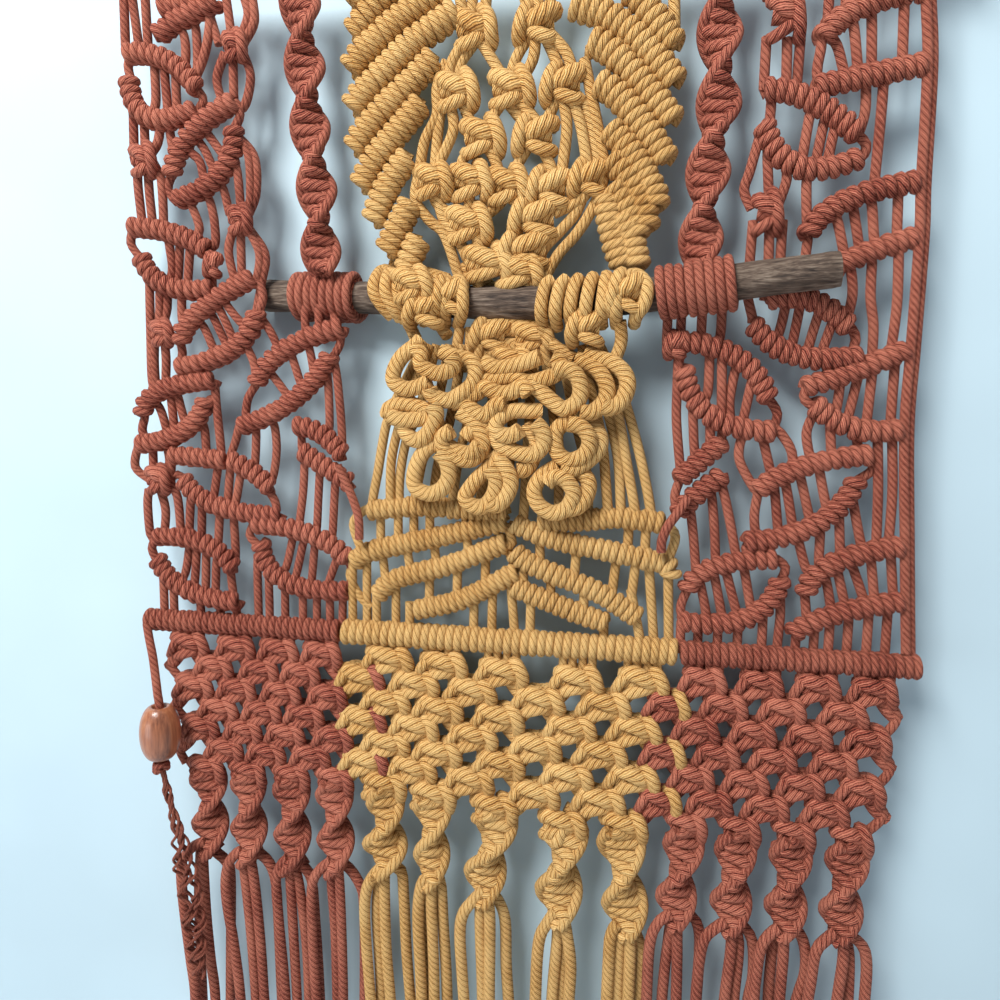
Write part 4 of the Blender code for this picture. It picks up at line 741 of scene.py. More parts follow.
BEAD_CORD = (
    CordPoint(-188.0, 320.0, -4.5, 2.15),
    CordPoint(-185.6, 327.0, -6.5, 2.15),
    CordPoint(-181.8, 336.0, -9.6, 2.15),
    CordPoint(-178.6, 345.0, -12.8, 2.15),
    CordPoint(-175.8, 354.0, -15.6, 2.15),
    CordPoint(-174.8, 360.0, -16.2, 2.0),
    CordPoint(-174.8, 388.0, -16.2, 2.0),
)
BEAD_TAIL = (
    CordPoint(-174.9, 391.0, -16.0, 1.2),
    CordPoint(-173.8, 398.0, -15.4, 2.2),
    CordPoint(-172.6, 407.0, -14.8, 1.8),
    CordPoint(-171.0, 416.0, -14.2, 3.0),
    CordPoint(-168.0, 429.0, -13.6, 4.0),
    CordPoint(-166.3, 444.5, -13.0, 4.4),
    CordPoint(-163.6, 462.0, -12.2, 4.8),
    CordPoint(-161.8, 480.5, -11.8, 5.4),
    CordPoint(-160.8, 502.0, -11.6, 5.2),
    CordPoint(-160.2, 514.0, -11.4, 4.6),
)
BEAD_X = -174.8
BEAD_Y = -16.2
BEAD_TOP = 359.1
BEAD_LENGTH = 28.0
BEAD_RADIUS = 9.9
BEAD_MOUTH = 4.2
BEAD_HOLE = 3.2
KNOT_DROP = 390.8


@dataclass(frozen=True)
class Eye:
    """The camera: where it stands in millimetres, how it is turned in degrees, and its lens."""

    x: float = 49.6
    away: float = 355.0
    drop: float = 208.5
    left: float = 8.5
    down: float = 6.5
    roll: float = 1.0
    lens: float = 27.04
    sensor: float = 36.0

    def spot(self, x: float, drop: float, y: float = 0.0) -> np.ndarray:
        """Put a point that is seen at (x, drop) on the plane of the bars at depth y, in metres.

        Args:
            x: Apparent x in millimetres.
            drop: Apparent distance below the top edge in millimetres.
            y: Depth of the point; negative is nearer to the camera.

        Returns:
            The point's x, y and z in metres.
        """
        share = (self.away + y) / self.away
        true_x = self.x + (x - self.x) * share
        true_drop = self.drop + (drop - self.drop) * share
        return np.array((true_x, y, -true_drop)) * MM

    def matrix(self) -> Matrix:
        """Return the camera's place and turn as a world matrix."""
        yaw, pitch, roll = (math.radians(angle) for angle in (self.left, self.down, self.roll))
        level = math.cos(pitch)
        forward = Vector((-math.sin(yaw) * level, math.cos(yaw) * level, -math.sin(pitch)))
        right = Vector((math.cos(yaw), math.sin(yaw), 0.0))
        up = right.cross(forward)
        rolled_right = right * math.cos(roll) + up * math.sin(roll)
        rolled_up = up * math.cos(roll) - right * math.sin(roll)
        turn = Matrix((rolled_right, rolled_up, -forward)).transposed().to_4x4()
        return Matrix.Translation(Vector((self.x, -self.away, -self.drop)) * MM) @ turn


EYE = Eye()


def true_spot(x: float, drop: float, y: float = 0.0) -> np.ndarray:
    """Turn a true x, drop and y in millimetres into a point in metres."""
    return np.array((x, y, -drop)) * MM


def smooth_line(points: np.ndarray, step: float) -> np.ndarray:
    """Run a smooth curve through a few points.

    Args:
        points: The points to pass through, in metres.
        step: The spacing of the samples, in millimetres.

    Returns:
        Evenly spaced samples with the same ends.
    """
    if len(points) == 2:
        count = max(2, round(np.linalg.norm(points[1] - points[0]) / (step * MM)) + 1)
        return points[0] + np.linspace(0, 1, count)[:, None] * (points[1] - points[0])
    padded = np.vstack((2 * points[0] - points[1], points, 2 * points[-1] - points[-2]))
    rows = []
    shares = np.linspace(0, 1, 13)[:-1, None]
    for a, b, c, d in zip(padded, padded[1:], padded[2:], padded[3:]):
        slope, bend, turn = c - a, 2 * a - 5 * b + 4 * c - d, 3 * b - a - 3 * c + d
        rows.append(0.5 * (2 * b + slope * shares + bend * shares**2 + turn * shares**3))
    dense = np.vstack(rows + [points[-1:]])
    reach = np.concatenate(([0.0], np.cumsum(np.linalg.norm(np.diff(dense, axis=0), axis=1))))
    count = max(2, round(reach[-1] / (step * MM)) + 1)
    targets = np.linspace(0, reach[-1], count)
    return np.stack([np.interp(targets, reach, dense[:, axis]) for axis in range(3)], axis=1)


def add_object(name: str, data: bpy.types.ID) -> bpy.types.Object:
    """Put new data into the scene as an object."""
    thing = bpy.data.objects.new(name, data)
    bpy.context.scene.collection.objects.link(thing)
    return thing


def skin(builder: bmesh.types.BMesh, loops: list[list[bmesh.types.BMVert]]) -> None:
    """Close the surface between each loop of points and the next."""
    for here, after in zip(loops, loops[1:]):
        for j in range(len(here)):
            k = (j + 1) % len(here)
            builder.faces.new((here[j], here[k], after[k], after[j]))


def solid_object(
    name: str, builder: bmesh.types.BMesh, sharp: float, *finishes: bpy.types.Material
) -> bpy.types.Object:
    """Turn a closed builder into a smooth object with its materials.

    Args:
        name: The new object's name.
        builder: The closed surface.
        sharp: The angle in degrees above which an edge stays sharp.
        finishes: The object's materials.

    Returns:
        The object.
    """
    bmesh.ops.recalc_face_normals(builder, faces=builder.faces)
    mesh = bpy.data.meshes.new(name)
    builder.to_mesh(mesh)
    builder.free()
    mesh.shade_smooth()
    mesh.set_sharp_from_angle(angle=math.radians(sharp))
    for finish in finishes:
        mesh.materials.append(finish)
    return add_object(name, mesh)


class Track:
    """A smooth line with steady cross directions, to wind cord round."""

    def __init__(self, points: np.ndarray, step: float = 1.0) -> None:
        """Lay the line through the points and carry its cross directions along it."""
        self.points = smooth_line(points, step)
        steps = np.diff(self.points, axis=0)
        self.reach = np.concatenate(([0.0], np.cumsum(np.linalg.norm(steps, axis=1))))
        forward = np.gradient(self.points, axis=0)
        forward /= np.linalg.norm(forward, axis=1)[:, None]
        front = np.array((0.0, -1.0, 0.0))
        across = []
        for direction in forward:
            front = front - direction * front.dot(direction)
            front /= np.linalg.norm(front)
            across.append(front)
        self.front = np.array(across)
        self.side = np.cross(forward, self.front)

    @property
    def length(self) -> float:
        """The line's length in millimetres."""
        return self.reach[-1] / MM

    def at(self, distances: np.ndarray) -> tuple[np.ndarray, np.ndarray, np.ndarray]:
        """Read middle, front direction and side direction at distances in metres."""
        read = [
            np.stack([np.interp(distances, self.reach, rows[:, axis]) for axis in range(3)], axis=1)
            for rows in (self.points, self.front, self.side)
        ]
        return read[0], read[1], read[2]


class RopeTree:
    """Geometry Nodes that give each line of a mesh a round rope body."""

    def __init__(self) -> None:
        """Build the tree with its named inputs."""
        tree = bpy.data.node_groups.new("rope_body", "GeometryNodeTree")
        face = tree.interface
        face.new_socket("Geometry", in_out="INPUT", socket_type="NodeSocketGeometry")
        self.sides = face.new_socket("Sides", in_out="INPUT", socket_type="NodeSocketInt").identifier
        self.finish = face.new_socket("Finish", in_out="INPUT", socket_type="NodeSocketMaterial").identifier
        face.new_socket("Geometry", in_out="OUTPUT", socket_type="NodeSocketGeometry")
        self.tree = tree
        radius = self.named("rope_radius")
        inputs = tree.nodes.new("NodeGroupInput")
        line = self.add("GeometryNodeMeshToCurve", (inputs, "Geometry"))
        thick = self.add("GeometryNodeSetCurveRadius", (line, "Curve"))
        self.link(radius, "Attribute", thick, "Radius")
        circle = tree.nodes.new("GeometryNodeCurvePrimitiveCircle")
        circle.inputs["Radius"].default_value = 1.0
        self.link(inputs, "Sides", circle, "Resolution")
        share = tree.nodes.new("GeometryNodeSplineParameter")
        marked = self.add("GeometryNodeStoreNamedAttribute", (circle, "Curve"))
        marked.inputs["Name"].default_value = "rope_around"
        self.link(share, "Factor", marked, "Value")
        body = self.add("GeometryNodeCurveToMesh", (thick, "Curve"))
        self.link(marked, "Geometry", body, "Profile Curve")
        self.link(radius, "Attribute", body, "Scale")
        body.inputs["Fill Caps"].default_value = True
        angle = self.math("MULTIPLY", self.named("rope_around"), math.tau)
        packed = tree.nodes.new("ShaderNodeCombineXYZ")
        self.link(self.named("rope_along"), "Attribute", packed, "X")
        self.link(self.math("COSINE", angle), "Value", packed, "Y")
        self.link(self.math("SINE", angle), "Value", packed, "Z")
        told = tree.nodes.new("GeometryNodeStoreNamedAttribute")
        told.data_type = "FLOAT_VECTOR"
        told.inputs["Name"].default_value = "rope_lay"
        self.link(body, "Mesh", told, "Geometry")
        self.link(packed, "Vector", told, "Value")
        soft = self.add("GeometryNodeSetShadeSmooth", (told, "Geometry"))
        real = self.add("GeometryNodeRealizeInstances", (soft, "Geometry"))
        dressed = self.add("GeometryNodeSetMaterial", (real, "Geometry"))
        self.link(inputs, "Finish", dressed, "Material")
        self.link(dressed, "Geometry", tree.nodes.new("NodeGroupOutput"), "Geometry")

    def add(self, kind: str, source: tuple[bpy.types.Node, str]) -> bpy.types.Node:
        """Add a node whose first input takes the source's named output."""
        node = self.tree.nodes.new(kind)
        self.tree.links.new(source[0].outputs[source[1]], node.inputs[0])
        return node

    def link(self, source: bpy.types.Node, output: str, target: bpy.types.Node, entry: str) -> None:
        """Join a named output to a named input."""
        self.tree.links.new(source.outputs[output], target.inputs[entry])

    def named(self, name: str) -> bpy.types.Node:
        """Add a node that reads a named number attribute."""
        node = self.tree.nodes.new("GeometryNodeInputNamedAttribute")
        node.data_type = "FLOAT"
        node.inputs["Name"].default_value = name
        return node

    def math(self, operation: str, source: bpy.types.Node, value: float | None = None) -> bpy.types.Node:
        """Add a math node on a node's first output."""
        node = self.tree.nodes.new("ShaderNodeMath")
        node.operation = operation
        self.tree.links.new(source.outputs[0], node.inputs[0])
        if value is not None:
            node.inputs[1].default_value = value
        return node

    def make(
        self, name: str, line: bpy.types.Mesh, sides: int, finish: bpy.types.Material
    ) -> bpy.types.Object:
        """Turn a mesh of lines into a plain rope mesh object.

        Args:
            name: The new object's name.
            line: A mesh of edges with the rope attributes.
            sides: How many sides each rope has.
            finish: The rope's material.

        Returns:
            The object, at the origin, with no modifier left on it.
        """
        thing = add_object(name, line)
        modifier = thing.modifiers.new("rope", "NODES")
        modifier.node_group = self.tree
        modifier[self.sides] = sides
        modifier[self.finish] = finish
        bpy.context.view_layer.update()
        shown = thing.evaluated_get(bpy.context.evaluated_depsgraph_get())
        mesh = bpy.data.meshes.new_from_object(shown)
        thing.modifiers.remove(modifier)
        thing.data = mesh
        mesh.name = name
        mesh.set_sharp_from_angle(angle=math.radians(62))
        bpy.data.meshes.remove(line)
        return thing


@dataclass
class RopeSet:
    """The ropes of one piece, collected as lines and then built as one mesh."""

    name: str
    cord: Cord
    sides: int = 8
    seed: int = 7

    def __post_init__(self) -> None:
        """Start with no rope and a fixed random row."""
        self.rows: list[np.ndarray] = []
        self.radii: list[np.ndarray] = []
        self.random = np.random.default_rng(self.seed)

    def add(self, points: np.ndarray, radius: float | np.ndarray) -> None:
        """Add a rope along points in metres; its radius is in millimetres."""
        self.rows.append(points)
        self.radii.append(np.broadcast_to(np.asarray(radius, float) * MM, (len(points),)))

    def lay(
        self, route: Route, radius: float, y: float = 0.0, rise: float = 0.0, step: float = 2.4
    ) -> None:
        """Lay a rope along a seen route.

        Args:
            route: Its (x, drop) points.
            radius: Its radius.
            y: Its depth at its start.
            rise: How far nearer its end is than its start.
            step: The spacing of its samples.
        """
        depth = np.linspace(y, y - rise, len(route))
        points = np.array([EYE.spot(x, drop, back) for (x, drop), back in zip(route, depth)])
        self.add(smooth_line(points, step), radius)

    def lay_all(self, routes: Iterable[Route], radius: float, even: float, odd: float) -> None:
        """Lay several strands, every second one at a depth of its own, so that they pass each other."""
        for number, route in enumerate(routes):
            self.lay(route, radius, odd if number % 2 else even)

    def wind(self, track: Track, winding: Winding, cuts: int = 13) -> None:
        """Wind a rope round a track as a row of close hitches that stand nearly upright in front.

        Args:
            track: The line to wind round.
            winding: The bar's sizes.
            cuts: How many samples each wrap has.
        """
        wraps = max(2, round(track.length / winding.pitch))
        turns = np.linspace(0.5, wraps + 0.5, wraps * cuts + 1)
        wobble = np.interp(turns, np.arange(wraps + 2), self.random.normal(0, WRAP_WOBBLE, wraps + 2))
        part = (turns + 0.25) % 1.0
        behind = np.clip(2 * part - 1, 0, 1)
        share = np.where(part < 0.5, 2 * part * FRONT_ADVANCE, FRONT_ADVANCE + (1 - FRONT_ADVANCE) * behind)
        place = np.clip(np.floor(turns + 0.25) + share - WRAP_LEAD + 0.8 * wobble, 0, wraps)
        middle, front, side = track.at(place / wraps * track.reach[-1])
        reach = (winding.radius - winding.rope) * MM * (1 + wobble)
        angle = math.tau * turns
        across = side * (winding.hand * np.sin(angle))[:, None] + front * np.cos(angle)[:, None]
        self.add(middle + across * reach[:, None], winding.rope)
        self.add(track.points[::3], winding.radius - CORE_INSET * winding.rope)

    def spiral(
        self, track: Track, width: np.ndarray, depth: float, turn: np.ndarray, rope: float, pitch: float
    ) -> None:
        """Knot a flat spiral: thick passes round a full core, each turned a little, with edge cords.

        Args:
            track: The core's line.
            width: The spiral's width at each point of the track.
            depth: Its thickness.
            turn: How far the flat side has turned at each point, in radians.
            rope: The rope's radius.
            pitch: The spacing of the passes.
        """
        wraps = max(2, round(track.length / pitch))
        turns = np.linspace(0, wraps, wraps * 16 + 1)
        reach = turns / wraps * track.reach[-1]
        middle, front, side = track.at(reach)
        whole = np.arange(wraps + 1)
        half = (np.interp(reach, track.reach, width) / 2 - PASS_INSET * rope) * MM
        half = half * (1 + np.interp(turns, whole, self.random.normal(0, PASS_WOBBLE, wraps + 1)))
        angle = math.tau * turns
        flat = -np.interp(reach, track.reach, turn)
        along, over = half * np.cos(angle), (depth / 2 - rope) * MM * np.sin(angle)
        to_side = along * np.cos(flat) - over * np.sin(flat)
        to_front = along * np.sin(flat) + over * np.cos(flat)
        fat = np.interp(turns, whole, self.random.uniform(*PASS_FATNESS, wraps + 1))
        self.add(middle + side * to_side[:, None] + front * to_front[:, None], rope * fat)
        half = (width / 2 - rope) * MM
        middle_core, side_core = 0.5 * depth - 0.6 * rope, 0.5 * depth - 0.9 * rope
        for edge, radius in ((0.0, middle_core), (0.5, side_core), (1.0, EDGE_FATNESS * rope)):
            for sign in (1.0, -1.0):
                to_side = sign * edge * half * np.cos(turn)
                to_front = -EDGE_FLATNESS * sign * edge * half * np.sin(turn)
                line = track.points + track.side * to_side[:, None] + track.front * to_front[:, None]
                self.add(line[::2], radius)

    def tie(self, knot: Tie, thick: float, passes: tuple[KnotPass, ...]) -> None:
        """Tie one square knot from its passes.

        Args:
            knot: Where it sits and how large it is.
            thick: How thick its cord is beside the standard knot's.
            passes: The passes to lay.
        """
        flip = -1.0 if knot.mirrored else 1.0
        wide, tall = knot.width / KNOT_WIDTH, knot.height / KNOT_HEIGHT
        for part in passes:
            points = []
            for x, up, forward in part.route:
                sway = self.random.normal(0, KNOT_SWAY, 2)
                spot = (knot.x + flip * x * wide + sway[0], knot.drop - up * tall + sway[1])
                points.append(EYE.spot(*spot, knot.y - forward * thick))
            self.add(smooth_line(np.array(points), 1.6), part.radius * thick)

    def build(self, trees: RopeTree, finishes: dict[Cord, bpy.types.Material]) -> bpy.types.Object:
        """Build the piece's mesh from its ropes."""
        points = np.vstack(self.rows)
        counts = np.array([len(row) for row in self.rows])
        ends = np.cumsum(counts)
        starts = ends - counts
        index = np.arange(len(points) - 1)
        keep = ~np.isin(index + 1, ends[:-1])
        edges = np.stack((index, index + 1), axis=1)[keep]
        mesh = bpy.data.meshes.new(self.name + "_lines")
        mesh.from_pydata(points.tolist(), edges.tolist(), [])
        reach = np.concatenate(([0.0], np.cumsum(np.linalg.norm(np.diff(points, axis=0), axis=1))))
        offsets = np.repeat(reach[starts] - self.random.uniform(0, 0.05, len(counts)), counts)
        tint = np.repeat(self.random.uniform(0, 1, len(counts)), counts)
        for label, values in (
            ("rope_radius", np.concatenate(self.radii)),
            ("rope_along", reach - offsets),
            ("rope_tint", tint),
        ):
            attribute = mesh.attributes.new(label, "FLOAT", "POINT")
            attribute.data.foreach_set("value", values.astype(np.float32))
        return trees.make(self.name, mesh, self.sides, finishes[self.cord])


# The spacings of the square knots that the passes below are drawn for.
KNOT_WIDTH = 32.0
KNOT_HEIGHT = 12.0
UPPER_PASS = KnotPass(
    3.9,
    ((-8.6, 3.9, -1.5), (-6.4, 4.3, 1.2), (-2.4, 3.3, 3.0), (2, 1.9, 3.0), (5, 0.6, 1), (6.5, -0.5, -1.5)),
)
LOWER_PASS = KnotPass(
    2.85,
    ((6.5, -1.6, -1.5), (3.5, -2.6, 1.4), (-1.5, -3.9, 3.0), (-6.3, -5.2, 1.8), (-8.8, -5.6, -1.5)),
)
CRESCENT = KnotPass(
    3.1,
    (
        (4.2, 6.6, -2.5),
        (6.4, 5.6, 1.6),
        (8.8, 2.6, 3.8),
        (10.2, -1.2, 3.4),
        (10.4, -4.2, 1.2),
        (9.4, -6.4, -2.5),
    ),
)
SIDE_LOOP = KnotPass(
    2.6,
    ((-12.9, -5.0, -2.5), (-12, -2.9, 1.4), (-10.1, 0.2, 2.9), (-7.8, 2.6, 1.6), (-5.5, 4.0, -1.5)),
)
KNOT_BODY = KnotPass(4.7, ((-8, 0.6, -2), (0, 0.3, -1.4), (8, -0.6, -2)))
LEFT_CORE = KnotPass(3.5, ((-2.4, 8.5, -3), (-3, 0, -2.6), (-7.5, -6.5, -2.2), (-14, -11.5, -2)))
RIGHT_CORE = KnotPass(3.5, ((2.4, 8.5, -3), (3, 0, -2.6), (7.5, -6.5, -2.2), (14, -11.5, -2)))
KNOT_PASSES = (KNOT_BODY, UPPER_PASS, LOWER_PASS, CRESCENT, SIDE_LOOP, LEFT_CORE, RIGHT_CORE)
PASSES_BUT_CRESCENT = (KNOT_BODY, UPPER_PASS, LOWER_PASS, SIDE_LOOP, LEFT_CORE, RIGHT_CORE)
# A knot that stands alone, outside a net.
LONE_PASSES = (KNOT_BODY, UPPER_PASS, LOWER_PASS, CRESCENT)


class NetKnot(NamedTuple):
    """A net knot in one cord: its width, and how thick its cord is beside the standard knot's."""

    width: float
    thick: float


NET_KNOTS = {Cord.GOLD: NetKnot(31.5, 1.06), Cord.RUST: NetKnot(26.0, 0.93)}
NET_KNOT_HEIGHT = 12.6


class NodeDesk:
    """Short calls that build a material's node tree."""

    def __init__(self, name: str) -> None:
        """Start a material with its Principled shader."""
        self.material = bpy.data.materials.new(name)
        self.material.use_nodes = True
        self.tree = self.material.node_tree
        self.shader = self.tree.nodes["Principled BSDF"]

    def node(self, kind: str, **settings: object) -> bpy.types.Node:
        """Add a node and set its properties."""
        node = self.tree.nodes.new(kind)
        for key, value in settings.items():
            setattr(node, key, value)
        return node

    def feed(self, value: object, socket: bpy.types.NodeSocket) -> None:
        """Link an output to a socket, or set a plain value on it."""
        if isinstance(value, bpy.types.NodeSocket):
            self.tree.links.new(value, socket)
        else:
            socket.default_value = value

    def math(self, operation: str, *values: object) -> bpy.types.NodeSocket:
        """Add a math node and return its output."""
        node = self.node("ShaderNodeMath", operation=operation)
        for value, socket in zip(values, node.inputs):
            self.feed(value, socket)
        return node.outputs[0]

    def noise(self, where: object, scale: float, detail: float = 2.0) -> bpy.types.NodeSocket:
        """Add a noise texture and return its factor."""
        node = self.node("ShaderNodeTexNoise")
        self.feed(where, node.inputs["Vector"])
        node.inputs["Scale"].default_value = scale
        node.inputs["Detail"].default_value = detail
        return node.outputs["Fac"]

    def place(self, stretch: Triple | None = None) -> bpy.types.NodeSocket:
        """Return the object's own coordinates, scaled along each axis where a stretch is given."""
        spot = self.node("ShaderNodeTexCoord").outputs["Object"]
        if stretch is None:
            return spot
        node = self.node("ShaderNodeMapping")
        self.feed(spot, node.inputs["Vector"])
        node.inputs["Scale"].default_value = stretch
        return node.outputs["Vector"]

    def shade(self, name: str, value: object) -> None:
        """Feed one of the shader's inputs."""
        self.feed(value, self.shader.inputs[name])

    def ramp(self, factor: object, stops: tuple[tuple[float, Triple], ...]) -> bpy.types.NodeSocket:
        """Add a colour ramp and return its colour."""
        node = self.node("ShaderNodeValToRGB")
        self.feed(factor, node.inputs["Fac"])
        while len(node.color_ramp.elements) < len(stops):
            node.color_ramp.elements.new(0.5)
        for element, (place, colour) in zip(node.color_ramp.elements, stops):
            element.position = place
            element.color = (*colour, 1.0)
        return node.outputs["Color"]

    def bump(self, height: object, distance: float, strength: float = 1.0) -> None:
        """Feed a height into the shader's normal."""
        node = self.node("ShaderNodeBump")
        node.inputs["Distance"].default_value = distance
        node.inputs["Strength"].default_value = strength
        self.feed(height, node.inputs["Height"])
        self.feed(node.outputs["Normal"], self.shader.inputs["Normal"])


@dataclass(frozen=True)
class CordFinish:
    """Twisted cotton cord: its colours, how many plies, the length of one twist and its relief; its deep
    colour is painted shade in the grooves and its light colour a painted highlight on the crowns.
    """

    name: str
    # The darkest colour: painted shade in the ply and yarn grooves, and also dark random fibres.
    deep: Triple
    body: Triple
    # The palest colour: a painted highlight on the ply and yarn crowns, and also pale random fibres; it also
    # tints the sheen.
    light: Triple
    plies: int = 5
    twist: float = 0.0155
    relief: float = 0.0011
    roughness: float = 0.8
    sheen: float = 0.2

    def make(self) -> bpy.types.Material:
        """Build the cord's material from the rope attributes, with painted shade in the grooves and a
        painted highlight on the crowns.
        """
        desk = NodeDesk(self.name)
        lay = desk.node("ShaderNodeAttribute", attribute_name="rope_lay")
        parts = desk.node("ShaderNodeSeparateXYZ")
        desk.feed(lay.outputs["Vector"], parts.inputs[0])
        along, cos, sin = parts.outputs
        place = desk.place()
        fuzz = desk.noise(place, 1900.0, 3.0)
        sway = desk.math("MULTIPLY_ADD", desk.noise(place, 330.0, 1.0), 1.1, -0.55)
        angle = desk.math("ARCTAN2", sin, cos)
        turn = desk.math("MULTIPLY_ADD", along, math.pi * self.plies / self.twist, sway)
        phase = desk.math("MULTIPLY_ADD", angle, self.plies / 2, turn)
        wave = desk.math("SINE", phase)
        ply = desk.math("SQRT", desk.math("MULTIPLY_ADD", wave, wave, 0.07))
        wave = desk.math("SINE", desk.math("MULTIPLY", phase, 3.0))
        yarn = desk.math("SQRT", desk.math("MULTIPLY_ADD", wave, wave, 0.09))
        patch = desk.noise(place, 60.0, 2.0)
        height = desk.math("MULTIPLY_ADD", yarn, 0.5, desk.math("MULTIPLY", ply, 0.42))
        desk.bump(desk.math("MULTIPLY_ADD", fuzz, 0.5, height), self.relief)
        # Tone follows the ridge height, so the grooves get painted shade and the crowns a painted highlight;
        # fuzz, patches and the rope's tint add random fibre tone.
        tone = desk.math("MULTIPLY_ADD", fuzz, 0.8, desk.math("MULTIPLY", height, 1.15))
        tone = desk.math("MULTIPLY_ADD", patch, 0.5, desk.math("SUBTRACT", tone, 0.8))
        tint = desk.node("ShaderNodeAttribute", attribute_name="rope_tint").outputs["Fac"]
        tone = desk.math("MULTIPLY_ADD", desk.math("SUBTRACT", tint, 0.5), 0.14, tone)
        colour = desk.ramp(tone, ((0.12, self.deep), (0.46, self.body), (0.86, self.light)))
        desk.shade("Base Color", colour)
        desk.shade("Roughness", self.roughness)
        desk.shade("Sheen Weight", self.sheen)
        desk.shade("Sheen Roughness", 0.45)
        desk.shade("Sheen Tint", (*self.light, 1.0))
        desk.shade("Specular IOR Level", 0.25)
        return desk.material


@dataclass(frozen=True)
class BarkFinish:
    """Weathered bark: grey-brown with long dark cracks."""

    name: str = "stick_bark"
    deep: Triple = (0.022, 0.013, 0.009)
    body: Triple = (0.095, 0.062, 0.043)
    light: Triple = (0.24, 0.185, 0.14)

    def make(self) -> bpy.types.Material:
        """Build the bark's material."""
        desk = NodeDesk(self.name)
        place = desk.place()
        along = desk.place((0.11, 1.0, 1.0))
        cracks = desk.noise(along, 620.0, 6.0)
        patches = desk.noise(place, 60.0, 3.0)
        grain = desk.noise(along, 2100.0, 3.0)
        tone = desk.math("MULTIPLY_ADD", patches, 0.4, desk.math("MULTIPLY", cracks, 0.85))
        tone = desk.math("MULTIPLY_ADD", grain, 0.45, desk.math("SUBTRACT", tone, 0.35))
        colour = desk.ramp(tone, ((0.3, self.deep), (0.5, self.body), (0.72, self.light)))
        desk.shade("Base Color", colour)
        desk.shade("Roughness", 0.8)
        desk.bump(desk.math("MULTIPLY_ADD", grain, 0.4, cracks), 0.0012)
        return desk.material


@dataclass(frozen=True)
class TwoToneFinish:
    """A matt surface of two tones in soft patches, for cut wood and for paint."""

    name: str
    dark: Triple
    pale: Triple
    scale: float
    detail: float
    roughness: float
    relief: float = 0.0

    def make(self) -> bpy.types.Material:
        """Build the surface's material."""
        desk = NodeDesk(self.name)
        patches = desk.noise(desk.place(), self.scale, self.detail)
        desk.shade("Base Color", desk.ramp(patches, ((0.3, self.dark), (0.7, self.pale))))
        desk.shade("Roughness", self.roughness)
        if self.relief:
            desk.bump(patches, self.relief)
        return desk.material


CUT_WOOD = TwoToneFinish("stick_cut", (0.2, 0.13, 0.08), (0.46, 0.36, 0.25), 500.0, 4.0, 0.85, 0.0005)


def paint(name: str, colour: Triple) -> TwoToneFinish:
    """Describe matt paint with a faint unevenness."""
    darker = tuple(channel * 0.93 for channel in colour)
    return TwoToneFinish(name, darker, colour, 9.0, 2.0, 0.9)


@dataclass(frozen=True)
class BeadFinish:
    """Polished reddish wood with fine upright grain under a clear coat."""

    name: str = "bead_polish"
    deep: Triple = (0.15, 0.045, 0.02)
    body: Triple = (0.34, 0.12, 0.055)
    light: Triple = (0.5, 0.21, 0.1)

    def make(self) -> bpy.types.Material:
        """Build the bead's material."""
        desk = NodeDesk(self.name)
        upright = desk.place((1.0, 1.0, 0.07))
        grain = desk.noise(upright, 900.0, 3.0)
        broad = desk.noise(upright, 160.0, 2.0)
        tone = desk.math("MULTIPLY_ADD", broad, 0.6, desk.math("MULTIPLY", grain, 0.4))
        colour = desk.ramp(tone, ((0.32, self.deep), (0.5, self.body), (0.68, self.light)))
        desk.shade("Base Color", colour)
        desk.shade("Roughness", 0.36)
        desk.shade("Coat Weight", 0.6)
        desk.shade("Coat Roughness", 0.18)
        desk.bump(grain, 0.0002)
        return desk.material


# Cord colours: the deep ones are painted shade in the grooves over dark fibres, the light ones a painted
# highlight on the crowns over pale fibres; the body ones are the cords' own colour.
RUST_DARK_AND_GROOVE_SHADE = (0.035, 0.003, 0.002)
RUST_BODY = (0.255, 0.042, 0.026)
RUST_PALE_AND_CROWN_HIGHLIGHT = (0.62, 0.22, 0.14)
GOLD_DARK_AND_GROOVE_SHADE = (0.2, 0.066, 0.01)
GOLD_BODY = (0.6, 0.29, 0.07)
GOLD_PALE_AND_CROWN_HIGHLIGHT = (0.9, 0.6, 0.25)


class Workshop:
    """What every sub-assembly needs: the rope tree, the finishes and the way a piece joins the frame."""

    def __init__(self) -> None:
        """Make the shared tree and materials."""
        self.trees = RopeTree()
        self.finishes = {
            Cord.RUST: CordFinish("rust_cotton", RUST_DARK_AND_GROOVE_SHADE, RUST_BODY, RUST_PALE_AND_CROWN_HIGHLIGHT).make(),
            Cord.GOLD: CordFinish("mustard_cotton", GOLD_DARK_AND_GROOVE_SHADE, GOLD_BODY, GOLD_PALE_AND_CROWN_HIGHLIGHT).make(),
        }
        self.count = 0
        self.triangles = 0

    def finish(self, ropes: RopeSet, *nodes: str) -> bpy.types.Object:
        """Build a rope piece and let it stand for CAD nodes."""
        piece = ropes.build(self.trees, self.finishes)
        return self.join(piece, ropes.cord.value, *nodes)

    def join(self, piece: bpy.types.Object, slot: str, *nodes: str) -> bpy.types.Object:
        """Fix a piece to the body and hide the CAD nodes that it stands for.

        Args:
            piece: The finished object.
            slot: The record's material slot; not used.
            nodes: The CAD nodes that it stands for.

        Returns:
            The same object.
        """
        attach(piece, "root")
        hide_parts(*nodes)
        faces = sum(len(face.vertices) - 2 for face in piece.data.polygons)
        self.count += 1
        self.triangles += faces
        LOG.info("%s has %d triangles", piece.name, faces)
        return piece


def track_of(route: Route, y: float = 0.0, step: float = 1.0) -> Track:
    """Make a track along a seen route at one depth."""
    return Track(np.array([EYE.spot(x, drop, y) for x, drop in route]), step)


